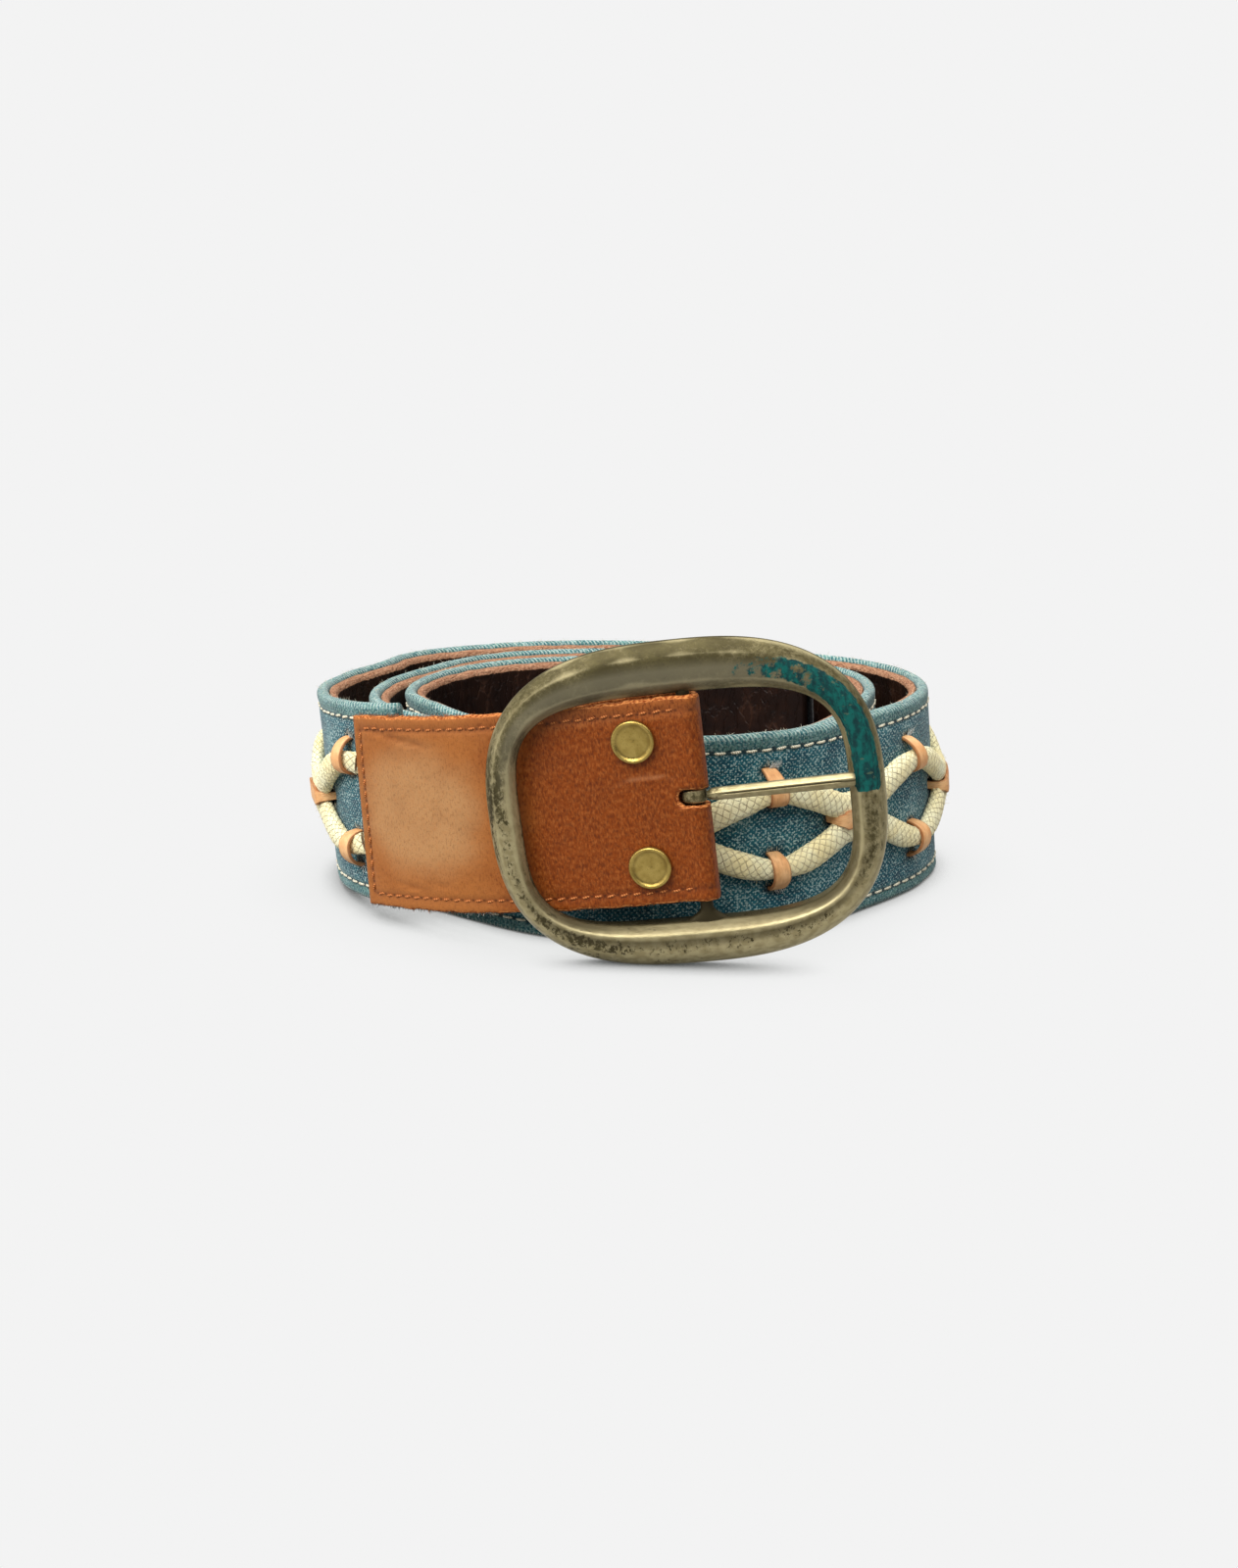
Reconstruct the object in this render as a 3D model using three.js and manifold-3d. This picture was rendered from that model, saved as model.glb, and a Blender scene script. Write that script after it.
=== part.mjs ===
// A denim belt with a laced rope front, a leather buckle end and an oval brass buckle.
// It stands on edge, rolled up in three turns, with the buckle in front.
// Millimetres, +Z up, the buckle looks along -Y, the origin is the middle of the footprint.
import * as THREE from 'three';
import { mergeVertices } from 'three/addons/utils/BufferGeometryUtils.js';
import Module from 'manifold-3d';

const wasm = await Module();
wasm.setup();

// Driving dimensions

const STRAP_WIDTH = 50;          // height of the denim strap on edge
const CLEARANCE = 0.3;           // gap that pieces keep to each other

const DENIM_FACE = 1.2;          // one layer of denim with its backing
const DENIM_HEM = 2.8;           // thickness where the denim is folded over
const HEM_WIDTH = 6;             // how far the folded edge reaches in

const LINING = 2.0;              // leather lining on the inside
const LINING_FROM = DENIM_HEM + CLEARANCE;
const LINING_BOTTOM = 0;
const LINING_TOP = 48.9;         // the denim stands a little higher than the leather
const LINING_BEVEL = 1.1;        // rounded raw edge on the inner side

const LACE = 1.1;                // leather strip behind the denim that carries the loops
const LACE_FROM = DENIM_FACE + CLEARANCE;
const LACE_BOTTOM = 7.5;         // the strip's lower and upper edge
const LACE_TOP = 43;

const ROPE_TALL = 5.6;           // cotton rope, pressed oval against the denim
const ROPE_DEEP = 3.3;
const ROPE_PINCHED = 4.2;        // its height under a loop, which squeezes it
const PINCH_REACH = 7;           // it swells back to its full height over this length
const ROPE_SIDES = 6;
const ROPE_GAP = 0.3;            // rope to denim
const ROPE_AT_NODE = 2.95;       // rope centre from the lacing's middle where the ropes meet
const ROPE_IN_LOOP = 1.1;        // a rope lies this much nearer the middle than its loop does
const NODE_FLAT = 5;             // the ropes run side by side this far from a node
const EYE_POWER = 1.2;           // shape of the eye between two nodes
const ROPE_STEPS = [-0.05, 0.05, 0.2, 0.39, 0.61, 0.8];  // parts of a period where a rope bends

const FIRST_PAIR = 91.5;         // strap length from the buckle bar to the first pair
const PERIOD = 47.1;             // strap length from one pair of loops to the next
const WIDE_PERIOD = 49.8;        // further along the belt they are set wider
const WIDE_FROM = 6;             // from this pair on
const NODES = 14;                // bands on the strap, as many as pairs
const ROPE_PAST_LAST_NODE = 6.45;

const LOOP_WIDTH = 3.6;
const LOOP = 0.8;                // thickness of the loops
const LOOP_REACH = 4.3;          // loop leg from the loop's middle
const LOOP_BEND = 2.6;           // level at which a leg starts to bend over the rope
const BAND_WIDTH = 4.7;
const BAND_LEG_WIDTH = 2.0;      // a band narrows where it dives between the ropes
const BAND_REACH = 8.4;          // band leg from the node
const BAND_BEND = 3.3;
const SLIT_GAP = 0.3;            // room round each leg in its slit

const PANEL_HEIGHT = 47.2;       // leather buckle end
const PANEL = 1.7;
const PANEL_END = 86.5;           // left edge, strap length from the bar
const PANEL_BACK_END = 25;       // the layer behind ends here
const DENIM_START = 72.5;         // the denim ends inside the buckle end
const LINING_START = 6;          // the lining ends just before the bar
const LINING_FRONT = 0.1;        // where no denim lies, the lining moves up to the panel
const LINING_MOVES_AT = [56, 71];

const BAR_RADIUS = 1.5;          // round bar in the leather fold
const FOLD_RADIUS = BAR_RADIUS + CLEARANCE + PANEL / 2;
const PANEL_OUT = CLEARANCE + PANEL / 2;
const PANEL_BACK_OUT = -LINING_FRONT - LINING - CLEARANCE - PANEL / 2;
const BAR_OUT = (PANEL_OUT + PANEL_BACK_OUT) / 2;
const FOLD_STEPS = 6;
const FOLD_EASE = 4.5;           // from here on the leather lies flat again
const SLOT_HEIGHT = 4.0;         // opening in the fold for the prong
const SLOT_FROM = -5;
const SLOT_TO = 3.05;

const RIVET_CAP_RADIUS = 4.95;
const RIVET_CAP = 1.3;
const RIVET_RIM = 0.35;          // raised rim round the cap
const RIVET_POST_RADIUS = 1.6;
const RIVET_BACK_RADIUS = 3.4;
const RIVET_BACK = 0.7;
const RIVET_SIDES = 12;
const RIVETS = [
  { name: 'rivet_upper', s: 11.4, height: 38.3 },
  { name: 'rivet_lower', s: 10.7, height: 9.2 },
];

const HOLE_RADIUS = 2.3;         // prong holes near the free end
const HOLE_COUNT = 5;
const HOLE_PITCH = 25;
const LAST_HOLE = 70;            // from the free end
const HOLE_SIDES = 8;

const CUT_FROM = -8;             // levels between which the cutters go through the leather
const CUT_TO = 4;
const PAST = 1;                  // other cutters run this far past a face

const FRAME_LEAN = 7.0;          // degrees, the buckle's top leans to the left
const FRAME_YAW = 5.0;           // degrees, its right side comes forward
const FRAME_DROP = 1.6;          // the frame hangs this much lower than the leather's middle
const FRAME_HALF_WIDTH = 44.5;
const FRAME_HALF_HEIGHT = 37.5;
const FRAME_POWER = 2.68;
const WINDOW_HALF_WIDTH = 37.0;
const WINDOW_HALF_HEIGHT = 26.5;
const WINDOW_POWER = 3.85;
const WINDOW_SHIFT = { across: -0.4, up: -0.8 };
const FRAME_FROM_BAR = -2.2;     // frame centre along the prong's direction
const FRAME_STEPS = 44;
const FRAME_FRONT = 3.3;         // crown of the frame before the bar's centre
const FRAME_EDGE = 1.1;          // level of the frame's edges
const FRAME_BACK = -0.2;         // the back where leather passes behind it
const FRAME_BACK_DEEP = -2.6;    // and at its foot and right side, where none does
const DEEP_SIDE = THREE.MathUtils.degToRad(-70);
const BAR_SIDES = 12;
const BAR_IN_FRAME = 2.5;        // the bar's ends reach this far into the frame
const FOOT_TOP = 3.4;            // the bar's lower end spreads: half-width below the leather
const FOOT_BASE = 6.6;           // and where it joins the frame
const FOOT_FLAT = 0.3;           // its depth against its width

const PRONG_LENGTH = 35.7;
const PRONG_WIDTH = 3.0;
const PRONG_TIP_WIDTH = 2.6;
const PRONG_THICK = 2.2;
const PRONG_SHOULDER = 0.2;      // its sides reach this far past the centre line
const PRONG_TOP_SHARE = 0.45;    // share of its width that its flat top has
const PRONG_TIP_SHARE = 0.6;     // share of its width left at the very tip
const PRONG_FROM = 2.3;          // the shank starts inside the eye
const PRONG_SECTIONS = 5;
const PRONG_EYE_RADIUS = 2.75;
const PRONG_EYE_POWER = 3;       // an eye with a flattened front
const PRONG_EYE_SIDES = 16;
const PRONG_LEVEL = 2.1;         // above the frame's middle
const PRONG_RISE = 1.1;          // its tip is this much higher than its root
const PRONG_ROOT_OUT = 1.65;     // centre line before the bar, at the root and at the tip
const PRONG_TIP_OUT = 4.3;

// The strap's route on the floor: the outer face of the denim at its top edge, from the
// buckle bar to the free end.
const ROUTE = [
  // the buckle end, from the bar to the left
  { x: 12.4, y: -76.2 }, { x: -5, y: -72.5 }, { x: -26.6, y: -65.2 },
  { x: -48.2, y: -53.6 }, { x: -66.3, y: -37.2 },
  // outer turn on the left, with the dent behind it
  { x: -75.5, y: -21 }, { x: -79.3, y: -3 }, { x: -75, y: 14 },
  { x: -67.6, y: 27.5 }, { x: -62, y: 39.5 },
  // outer rear run
  { x: -47.5, y: 50 }, { x: -25, y: 57.8 }, { x: 0, y: 58.8 }, { x: 28, y: 52 }, { x: 54, y: 39.4 },
  // outer turn on the right
  { x: 69, y: 29 }, { x: 78, y: 14.5 }, { x: 79.6, y: -3 }, { x: 72.5, y: -21 }, { x: 58, y: -38.2 },
  // second front run, seen through the buckle
  { x: 42, y: -52.3 }, { x: 22, y: -60.2 }, { x: 0, y: -61.4 }, { x: -21.5, y: -56.9 }, { x: -41, y: -45 },
  // second turn on the left
  { x: -56.2, y: -31.8 }, { x: -64.6, y: -15.6 }, { x: -63.5, y: 2 },
  { x: -54.5, y: 20 }, { x: -42.5, y: 35.3 },
  // second rear run
  { x: -26, y: 44.2 }, { x: 0, y: 46.2 }, { x: 25, y: 40.5 }, { x: 49, y: 28.4 }, { x: 60.5, y: 19 },
  // second turn on the right
  { x: 65.6, y: 6 }, { x: 64.5, y: -10 }, { x: 54.5, y: -29.6 }, { x: 38, y: -45 }, { x: 17, y: -53 },
  // third front run and the sharp turn on the left
  { x: -8, y: -52.6 }, { x: -30.5, y: -41.5 }, { x: -48, y: -24.8 }, { x: -56, y: -10 }, { x: -54, y: 6.5 },
  // third rear run to the free end
  { x: -43.3, y: 22.4 }, { x: -25, y: 33 }, { x: -1, y: 35.6 }, { x: 29, y: 28 }, { x: 51, y: 11 },
];
// How the strap stands along its length s: lift is the height of its bottom edge, footX and
// footY the shift of the bottom edge against the top one, lace the height of the lacing's
// middle, loops the distance of the loops from it, sink what the strap loses in height where
// it is cupped
const STANCE = [
  { s: 0, lift: 16.6, footX: 6.1, footY: -0.5, lace: 25.2, loops: 11.8, sink: 0 },
  { s: 50, lift: 8.4, footX: 4.4, footY: -1.2, lace: 25.2, loops: 11.8, sink: 0 },
  { s: 86, lift: 3.4, footX: 2.8, footY: -1.6, lace: 25.2, loops: 11.8, sink: 0 },
  { s: 110, lift: 0.8, footX: 3.4, footY: -1.4, lace: 23.9, loops: 11.5, sink: 0 },
  { s: 135, lift: 0, footX: 3.8, footY: -0.4, lace: 24.6, loops: 11.2, sink: 0 },
  { s: 170, lift: 0, footX: 4, footY: 0.5, lace: 25, loops: 11, sink: 0 },
  { s: 300, lift: 0, footX: 4.6, footY: 0.5, lace: 25.5, loops: 11, sink: 0 },
  { s: 350, lift: 0, footX: 4.7, footY: 0.7, lace: 25, loops: 11.3, sink: 0 },
  { s: 370, lift: 0, footX: 4.3, footY: 0.9, lace: 25.3, loops: 11.2, sink: 0 },
  { s: 395, lift: 0, footX: 3.6, footY: 1.2, lace: 26.5, loops: 10.8, sink: 0 },
  { s: 430, lift: 0, footX: 2.8, footY: 0.8, lace: 26.5, loops: 10.2, sink: 0 },
  { s: 480, lift: 0, footX: 2.8, footY: -1, lace: 26.3, loops: 10.4, sink: 0 },
  { s: 540, lift: 0, footX: 2.8, footY: 0, lace: 26, loops: 10.5, sink: 0 },
  { s: 762, lift: 0, footX: 2.8, footY: 0.2, lace: 26, loops: 10.5, sink: 0 },
  { s: 778, lift: 0, footX: 2.8, footY: 0.2, lace: 26, loops: 10.5, sink: 2.6 },
  { s: 850, lift: 0, footX: 2.8, footY: 0.3, lace: 26, loops: 10.5, sink: 2.2 },
  { s: 885, lift: 0, footX: 2.8, footY: 0.3, lace: 26, loops: 10.5, sink: 0 },
  { s: 1100, lift: 0, footX: 2.8, footY: 0.5, lace: 26, loops: 10.5, sink: 0 },
];
// Middle of the whole belt's footprint in the route's numbers
const MIDDLE = { x: 2.25, y: -9.6 };

// Numbers along the route

const SAMPLES_PER_ROW = 32;
const MOST_SAG = 0.89;           // how far a straight step strays from the route
const MOST_TURN = THREE.MathUtils.degToRad(25);
const LONGEST_STEP = 45;
const SHORTEST_STEP = 1;
const STATIONS_PER_PERIOD = 10;
const WELD = 1e-4;               // points nearer than this are one
const LARGEST_MITER = 2;

// The route sampled finely, each sample with its strap length s from the bar
function sampleRoute() {
  const rows = ROUTE.map(({ x, y }) => new THREE.Vector3(x, y, 0));
  const curve = new THREE.CatmullRomCurve3(rows, false, 'centripetal');
  const points = curve.getPoints((ROUTE.length - 1) * SAMPLES_PER_ROW);
  let s = 0;
  return points.map(({ x, y }, i) => {
    if (i > 0) s += Math.hypot(x - points[i - 1].x, y - points[i - 1].y);
    return { s, x, y };
  });
}

const samples = sampleRoute();
const STRAP_END = samples.at(-1).s;

// Straight between the rows of a list that is sorted by s
function between(list, s) {
  let i = 1;
  while (i < list.length - 1 && list[i].s < s) i++;
  const [a, b] = [list[i - 1], list[i]];
  const t = (s - a.s) / (b.s - a.s);
  return Object.fromEntries(Object.keys(a).map((key) => [key, a[key] + (b[key] - a[key]) * t]));
}

function routeAt(s) {
  const row = { ...between(STANCE, s), ...between(samples, s), s };
  const ahead = between(samples, Math.min(s + 1, STRAP_END));
  const behind = between(samples, Math.max(s - 1, 0));
  const length = Math.hypot(ahead.x - behind.x, ahead.y - behind.y);
  row.outX = -(ahead.y - behind.y) / length;
  row.outY = (ahead.x - behind.x) / length;
  return row;
}

function turnBetween(a, b) {
  return Math.acos(Math.min(1, a.outX * b.outX + a.outY * b.outY));
}

function placeOfPeriod(count) {
  const narrow = Math.min(count, WIDE_FROM);
  return FIRST_PAIR + narrow * PERIOD + (count - narrow) * WIDE_PERIOD;
}

function periodAt(s) {
  const wide = placeOfPeriod(WIDE_FROM);
  return s < wide ? (s - FIRST_PAIR) / PERIOD : WIDE_FROM + (s - wide) / WIDE_PERIOD;
}

// Every piece of the strap is built on the same stations, so that the layers nest. They lie
// closer together in the turns, and never inside a slit. An arc sags by its turn times an
// eighth of its length.
function makeStations() {
  const kept = [routeAt(0)];
  const first = Math.ceil(periodAt(0) * STATIONS_PER_PERIOD);
  const last = Math.floor(periodAt(STRAP_END) * STATIONS_PER_PERIOD) - 2;
  for (let k = first; k <= last; k++) {
    const here = routeAt(placeOfPeriod((k + 0.5) / STATIONS_PER_PERIOD));
    const next = routeAt(placeOfPeriod((k + 1.5) / STATIONS_PER_PERIOD));
    const before = kept.at(-1);
    const step = next.s - before.s;
    const turn = turnBetween(before, next);
    const sag = turn * step / 8;
    if (turn > MOST_TURN || sag > MOST_SAG || step > LONGEST_STEP) kept.push(here);
  }
  return [...kept, routeAt(STRAP_END)];
}

const stations = makeStations();

// A point of the strap: s along it, height above its bottom edge, out from the denim's face
function place(s, height, out) {
  const row = between(stations, s);
  const down = 1 - height / STRAP_WIDTH;
  const squash = 1 - row.sink / STRAP_WIDTH;
  return [
    row.x + row.footX * down + row.outX * out - MIDDLE.x,
    row.y + row.footY * down + row.outY * out - MIDDLE.y,
    row.lift + height * squash,
  ];
}

function stationsBetween(from, to, extra = []) {
  const isInside = (s) => s > from + SHORTEST_STEP && s < to - SHORTEST_STEP;
  const inside = stations.map((row) => row.s).filter(isInside);
  const isNew = (s) => inside.every((t) => Math.abs(t - s) > SHORTEST_STEP / 2);
  const far = extra.filter((s) => s > from && s < to && isNew(s));
  return [from, ...inside, ...far, to].sort((a, b) => a - b);
}

// Geometry helpers

function solidFrom(points, faces) {
  let geometry = new THREE.BufferGeometry();
  geometry.setAttribute('position', new THREE.Float32BufferAttribute(points.flat(), 3));
  geometry.setIndex(faces.flat());
  geometry = mergeVertices(geometry, WELD);
  if (volume(geometry) < 0) {
    const index = geometry.getIndex();
    for (let i = 0; i < index.count; i += 3) {
      const [b, c] = [index.getX(i + 1), index.getX(i + 2)];
      index.setX(i + 1, c);
      index.setX(i + 2, b);
    }
  }
  return geometry;
}

function volume(geometry) {
  const index = geometry.getIndex();
  const position = geometry.getAttribute('position');
  const corner = [new THREE.Vector3(), new THREE.Vector3(), new THREE.Vector3()];
  let sum = 0;
  for (let i = 0; i < index.count; i += 3) {
    corner.forEach((v, k) => v.fromBufferAttribute(position, index.getX(i + k)));
    sum += corner[0].dot(corner[1].cross(corner[2])) / 6;
  }
  return sum;
}

// Rings of equal length joined by quads, closed by flat ends
function loft(rings, { closed = false } = {}) {
  const size = rings[0].length;
  const faces = [];
  const joints = closed ? rings.length : rings.length - 1;
  for (let r = 0; r < joints; r++) {
    const here = r * size;
    const next = ((r + 1) % rings.length) * size;
    for (let i = 0; i < size; i++) {
      const j = (i + 1) % size;
      faces.push([here + i, next + i, next + j], [here + i, next + j, here + j]);
    }
  }
  if (!closed) {
    const outline = flatten(rings[0]);
    for (const [a, b, c] of THREE.ShapeUtils.triangulateShape(outline, [])) {
      const last = (rings.length - 1) * size;
      const turned = THREE.ShapeUtils.isClockWise(outline);
      faces.push(turned ? [c, b, a] : [a, b, c]);
      faces.push(turned ? [last + a, last + b, last + c] : [last + c, last + b, last + a]);
    }
  }
  return solidFrom(rings.flat(), orient(faces));
}

// A nearly flat ring of points drawn on its own plane
function flatten(ring) {
  const points = ring.map((p) => new THREE.Vector3(...p));
  const normal = new THREE.Vector3();
  points.forEach((p, i) => normal.add(p.clone().cross(points[(i + 1) % points.length])));
  const across = points[1].clone().sub(points[0]).normalize();
  normal.sub(across.clone().multiplyScalar(normal.dot(across))).normalize();
  const up = normal.clone().cross(across);
  return points.map((p) => new THREE.Vector2(p.dot(across), p.dot(up)));
}

// Faces turned so that each edge is walked once each way
function orient(faces) {
  const byEdge = new Map();
  faces.forEach((face, f) => face.forEach((a, k) => {
    const b = face[(k + 1) % 3];
    const key = a < b ? `${a}_${b}` : `${b}_${a}`;
    byEdge.set(key, [...(byEdge.get(key) ?? []), f]);
  }));
  const walks = (face, a, b) => face.some((p, k) => p === a && face[(k + 1) % 3] === b);
  const done = new Set([0]);
  const queue = [0];
  while (queue.length) {
    const f = queue.pop();
    faces[f].forEach((a, k) => {
      const b = faces[f][(k + 1) % 3];
      const key = a < b ? `${a}_${b}` : `${b}_${a}`;
      for (const g of byEdge.get(key)) {
        if (done.has(g)) continue;
        if (walks(faces[g], a, b)) faces[g].reverse();
        done.add(g);
        queue.push(g);
      }
    });
  }
  return faces;
}

function toManifold(geometry) {
  const bare = new THREE.BufferGeometry();
  bare.setAttribute('position', geometry.getAttribute('position').clone());
  bare.setIndex(geometry.getIndex() ? geometry.getIndex().clone() : null);
  const merged = mergeVertices(bare, WELD);
  return new wasm.Manifold(new wasm.Mesh({
    numProp: 3,
    vertProperties: new Float32Array(merged.getAttribute('position').array),
    triVerts: new Uint32Array(merged.getIndex().array),
  }));
}

function fromManifold(solid) {
  const { vertProperties, triVerts } = solid.getMesh();
  const geometry = new THREE.BufferGeometry();
  geometry.setAttribute('position', new THREE.Float32BufferAttribute(vertProperties, 3));
  geometry.setIndex([...triVerts]);
  return geometry;
}

function subtractAll(geometry, cutters) {
  const tools = cutters.map(toManifold).reduce((sum, cutter) => sum.add(cutter));
  return fromManifold(toManifold(geometry).subtract(tools));
}

function addAll(geometry, others) {
  const start = toManifold(geometry);
  return fromManifold(others.map(toManifold).reduce((sum, other) => sum.add(other), start));
}

// A ribbon along the strap. section(s) gives its outline as [height, out] pairs.
function ribbon(from, to, section, extra = []) {
  const ring = (s) => section(s).map(([height, out]) => place(s, height, out));
  return loft(stationsBetween(from, to, extra).map(ring));
}

// A bent strip of leather: its centre line is a list of [along, out, halfWidth] rows, and
// point(along, out, side) says where that lies, with side running across the strip.
function bentStrip(line, thickness, point) {
  const half = thickness / 2;
  const offset = line.map(([along, out], i) => {
    const before = line[Math.max(i - 1, 0)];
    const after = line[Math.min(i + 1, line.length - 1)];
    const inward = new THREE.Vector2(along - before[0], out - before[1]).normalize();
    const outward = new THREE.Vector2(after[0] - along, after[1] - out).normalize();
    const mean = inward.clone().add(outward).normalize();
    const reference = inward.lengthSq() > 0 ? inward : outward;
    const miter = Math.min(1 / mean.dot(reference), LARGEST_MITER);
    return [-mean.y * half * miter, mean.x * half * miter];
  });
  const rings = line.map(([along, out, halfWidth], i) => {
    const [dAlong, dOut] = offset[i];
    return [
      point(along + dAlong, out + dOut, -halfWidth),
      point(along + dAlong, out + dOut, halfWidth),
      point(along - dAlong, out - dOut, halfWidth),
      point(along - dAlong, out - dOut, -halfWidth),
    ];
  });
  return loft(rings);
}

function block(sFrom, sTo, heightFrom, heightTo, outFrom, outTo) {
  const ring = (s) => [
    place(s, heightFrom, outFrom), place(s, heightTo, outFrom),
    place(s, heightTo, outTo), place(s, heightFrom, outTo),
  ];
  return loft([ring(sFrom), ring(sTo)]);
}

// A round peg through the strap's layers
function peg({ s, height }, radius, outFrom, outTo) {
  const ring = (out) => Array.from({ length: HOLE_SIDES }, (_, i) => {
    const angle = (i + 0.5) / HOLE_SIDES * 2 * Math.PI;
    return place(s + radius * Math.cos(angle), height + radius * Math.sin(angle), out);
  });
  return loft([ring(outFrom), ring(outTo)]);
}

// The lacing

const pairPlaces = Array.from({ length: NODES }, (_, i) => placeOfPeriod(i));
const nodePlaces = Array.from({ length: NODES }, (_, i) => placeOfPeriod(i + 0.5));
const ROPE_START = PANEL_END + CLEARANCE;
const ROPE_END = nodePlaces.at(-1) + ROPE_PAST_LAST_NODE;
const ROPE_OUT = ROPE_GAP + ROPE_DEEP / 2;

function laceMiddle(s) {
  return between(stations, s).lace;
}

function loopMiddle(s, side) {
  return laceMiddle(s) + side * between(stations, s).loops;
}

// Distance of a rope's centre from the lacing's middle
function ropeOffset(s) {
  const atPair = between(stations, s).loops - ROPE_IN_LOOP;
  const fromNode = Math.abs(THREE.MathUtils.euclideanModulo(periodAt(s), 1) - 0.5);
  const flat = NODE_FLAT / PERIOD;
  const t = Math.max(0, (fromNode - flat) / (0.5 - flat));
  return ROPE_AT_NODE + (atPair - ROPE_AT_NODE) * Math.sin(t * Math.PI / 2) ** EYE_POWER;
}

function ropeHeight(s) {
  const fromPair = Math.min(...pairPlaces.map((pair) => Math.abs(s - pair)));
  const swell = THREE.MathUtils.clamp((fromPair - LOOP_WIDTH / 2) / PINCH_REACH, 0, 1);
  return THREE.MathUtils.lerp(ROPE_PINCHED, ROPE_TALL, swell);
}

function rope(side) {
  const steps = pairPlaces.flatMap((_, i) => ROPE_STEPS.map((part) => placeOfPeriod(i + part)));
  const rings = stationsBetween(ROPE_START, ROPE_END, steps).map((s) => {
    const middle = laceMiddle(s) + side * ropeOffset(s);
    const half = ropeHeight(s) / 2;
    return Array.from({ length: ROPE_SIDES }, (_, i) => {
      const angle = i / ROPE_SIDES * 2 * Math.PI;
      const flat = Math.sin(angle) / Math.sin(Math.PI / 3);
      return place(s, middle + half * Math.cos(angle), ROPE_OUT + ROPE_DEEP / 2 * flat);
    });
  });
  return loft(rings);
}

// A loop over one rope at a pair: up one slit, over the rope and down the other
const LACE_MIDDLE = -(LACE_FROM + LACE / 2);
const LOOP_CROWN = ROPE_GAP * 2 + ROPE_DEEP + LOOP / 2;
const LOOP_SHAPE = [
  { reach: 1, out: LACE_MIDDLE },
  { reach: 1, out: LOOP_BEND },
  { reach: 0.6, out: LOOP_CROWN },
  { reach: -0.6, out: LOOP_CROWN },
  { reach: -1, out: LOOP_BEND },
  { reach: -1, out: LACE_MIDDLE },
];

function ropeLoop(s, side) {
  const middle = loopMiddle(s, side);
  const line = LOOP_SHAPE.map(({ reach, out }) => [middle + reach * LOOP_REACH, out, LOOP_WIDTH / 2]);
  return bentStrip(line, LOOP, (height, out, across) => place(s + across, height, out));
}

// A band over both ropes at a node, narrow where it dives between them
const BAND_SHAPE = [
  { reach: -1, out: LACE_MIDDLE, half: BAND_LEG_WIDTH / 2 },
  { reach: -1, out: BAND_BEND, half: BAND_LEG_WIDTH / 2 },
  { reach: -0.8, out: LOOP_CROWN, half: BAND_WIDTH / 2 },
  { reach: -0.27, out: LOOP_CROWN, half: BAND_WIDTH / 2 },
  { reach: 0.27, out: LOOP_CROWN, half: BAND_WIDTH / 2 },
  { reach: 0.8, out: LOOP_CROWN, half: BAND_WIDTH / 2 },
  { reach: 1, out: BAND_BEND, half: BAND_LEG_WIDTH / 2 },
  { reach: 1, out: LACE_MIDDLE, half: BAND_LEG_WIDTH / 2 },
];

function nodeBand(s) {
  const line = BAND_SHAPE.map(({ reach, out, half }) => [s + reach * BAND_REACH, out, half]);
  return bentStrip(line, LOOP, (along, out, across) => place(along, laceMiddle(s) + across, out));
}

function laceStrip() {
  const section = () => [
    [LACE_TOP, -LACE_FROM], [LACE_BOTTOM, -LACE_FROM],
    [LACE_BOTTOM, -LACE_FROM - LACE], [LACE_TOP, -LACE_FROM - LACE],
  ];
  const stripEnd = nodePlaces.at(-1) + BAND_REACH + BAND_LEG_WIDTH;
  const strip = ribbon(FIRST_PAIR - LOOP_WIDTH, stripEnd, section);
  const loops = pairPlaces.flatMap((s) => [ropeLoop(s, 1), ropeLoop(s, -1)]);
  return addAll(strip, [...loops, ...nodePlaces.map(nodeBand)]);
}

function slits() {
  const [outFrom, outTo] = [-DENIM_FACE - PAST, PAST];
  const half = LOOP / 2 + SLIT_GAP;
  const cutters = [];
  for (const s of pairPlaces) {
    for (const side of [1, -1]) {
      for (const end of [1, -1]) {
        const height = loopMiddle(s, side) + end * LOOP_REACH;
        const width = LOOP_WIDTH / 2 + SLIT_GAP;
        cutters.push(block(s - width, s + width, height - half, height + half, outFrom, outTo));
      }
    }
  }
  for (const s of nodePlaces) {
    for (const end of [1, -1]) {
      const along = s + end * BAND_REACH;
      const width = BAND_LEG_WIDTH / 2 + SLIT_GAP;
      const middle = laceMiddle(s);
      cutters.push(block(along - half, along + half, middle - width, middle + width, outFrom, outTo));
    }
  }
  return cutters;
}

// The strap's layers

function prongHoles(outFrom, outTo) {
  return Array.from({ length: HOLE_COUNT }, (_, i) => {
    const at = { s: STRAP_END - LAST_HOLE - i * HOLE_PITCH, height: STRAP_WIDTH / 2 };
    return peg(at, HOLE_RADIUS, outFrom, outTo);
  });
}

function rivetHoles() {
  return RIVETS.map((at) => peg(at, RIVET_POST_RADIUS + CLEARANCE, CUT_FROM, CUT_TO));
}

function denimStrap() {
  const section = () => [
    [0, 0], [STRAP_WIDTH, 0],
    [STRAP_WIDTH, -DENIM_HEM], [STRAP_WIDTH - HEM_WIDTH, -DENIM_HEM],
    [STRAP_WIDTH - HEM_WIDTH, -DENIM_FACE], [HEM_WIDTH, -DENIM_FACE],
    [HEM_WIDTH, -DENIM_HEM], [0, -DENIM_HEM],
  ];
  const strap = ribbon(DENIM_START, STRAP_END, section);
  return subtractAll(strap, [...slits(), ...prongHoles(-DENIM_HEM - PAST, PAST)]);
}

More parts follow.
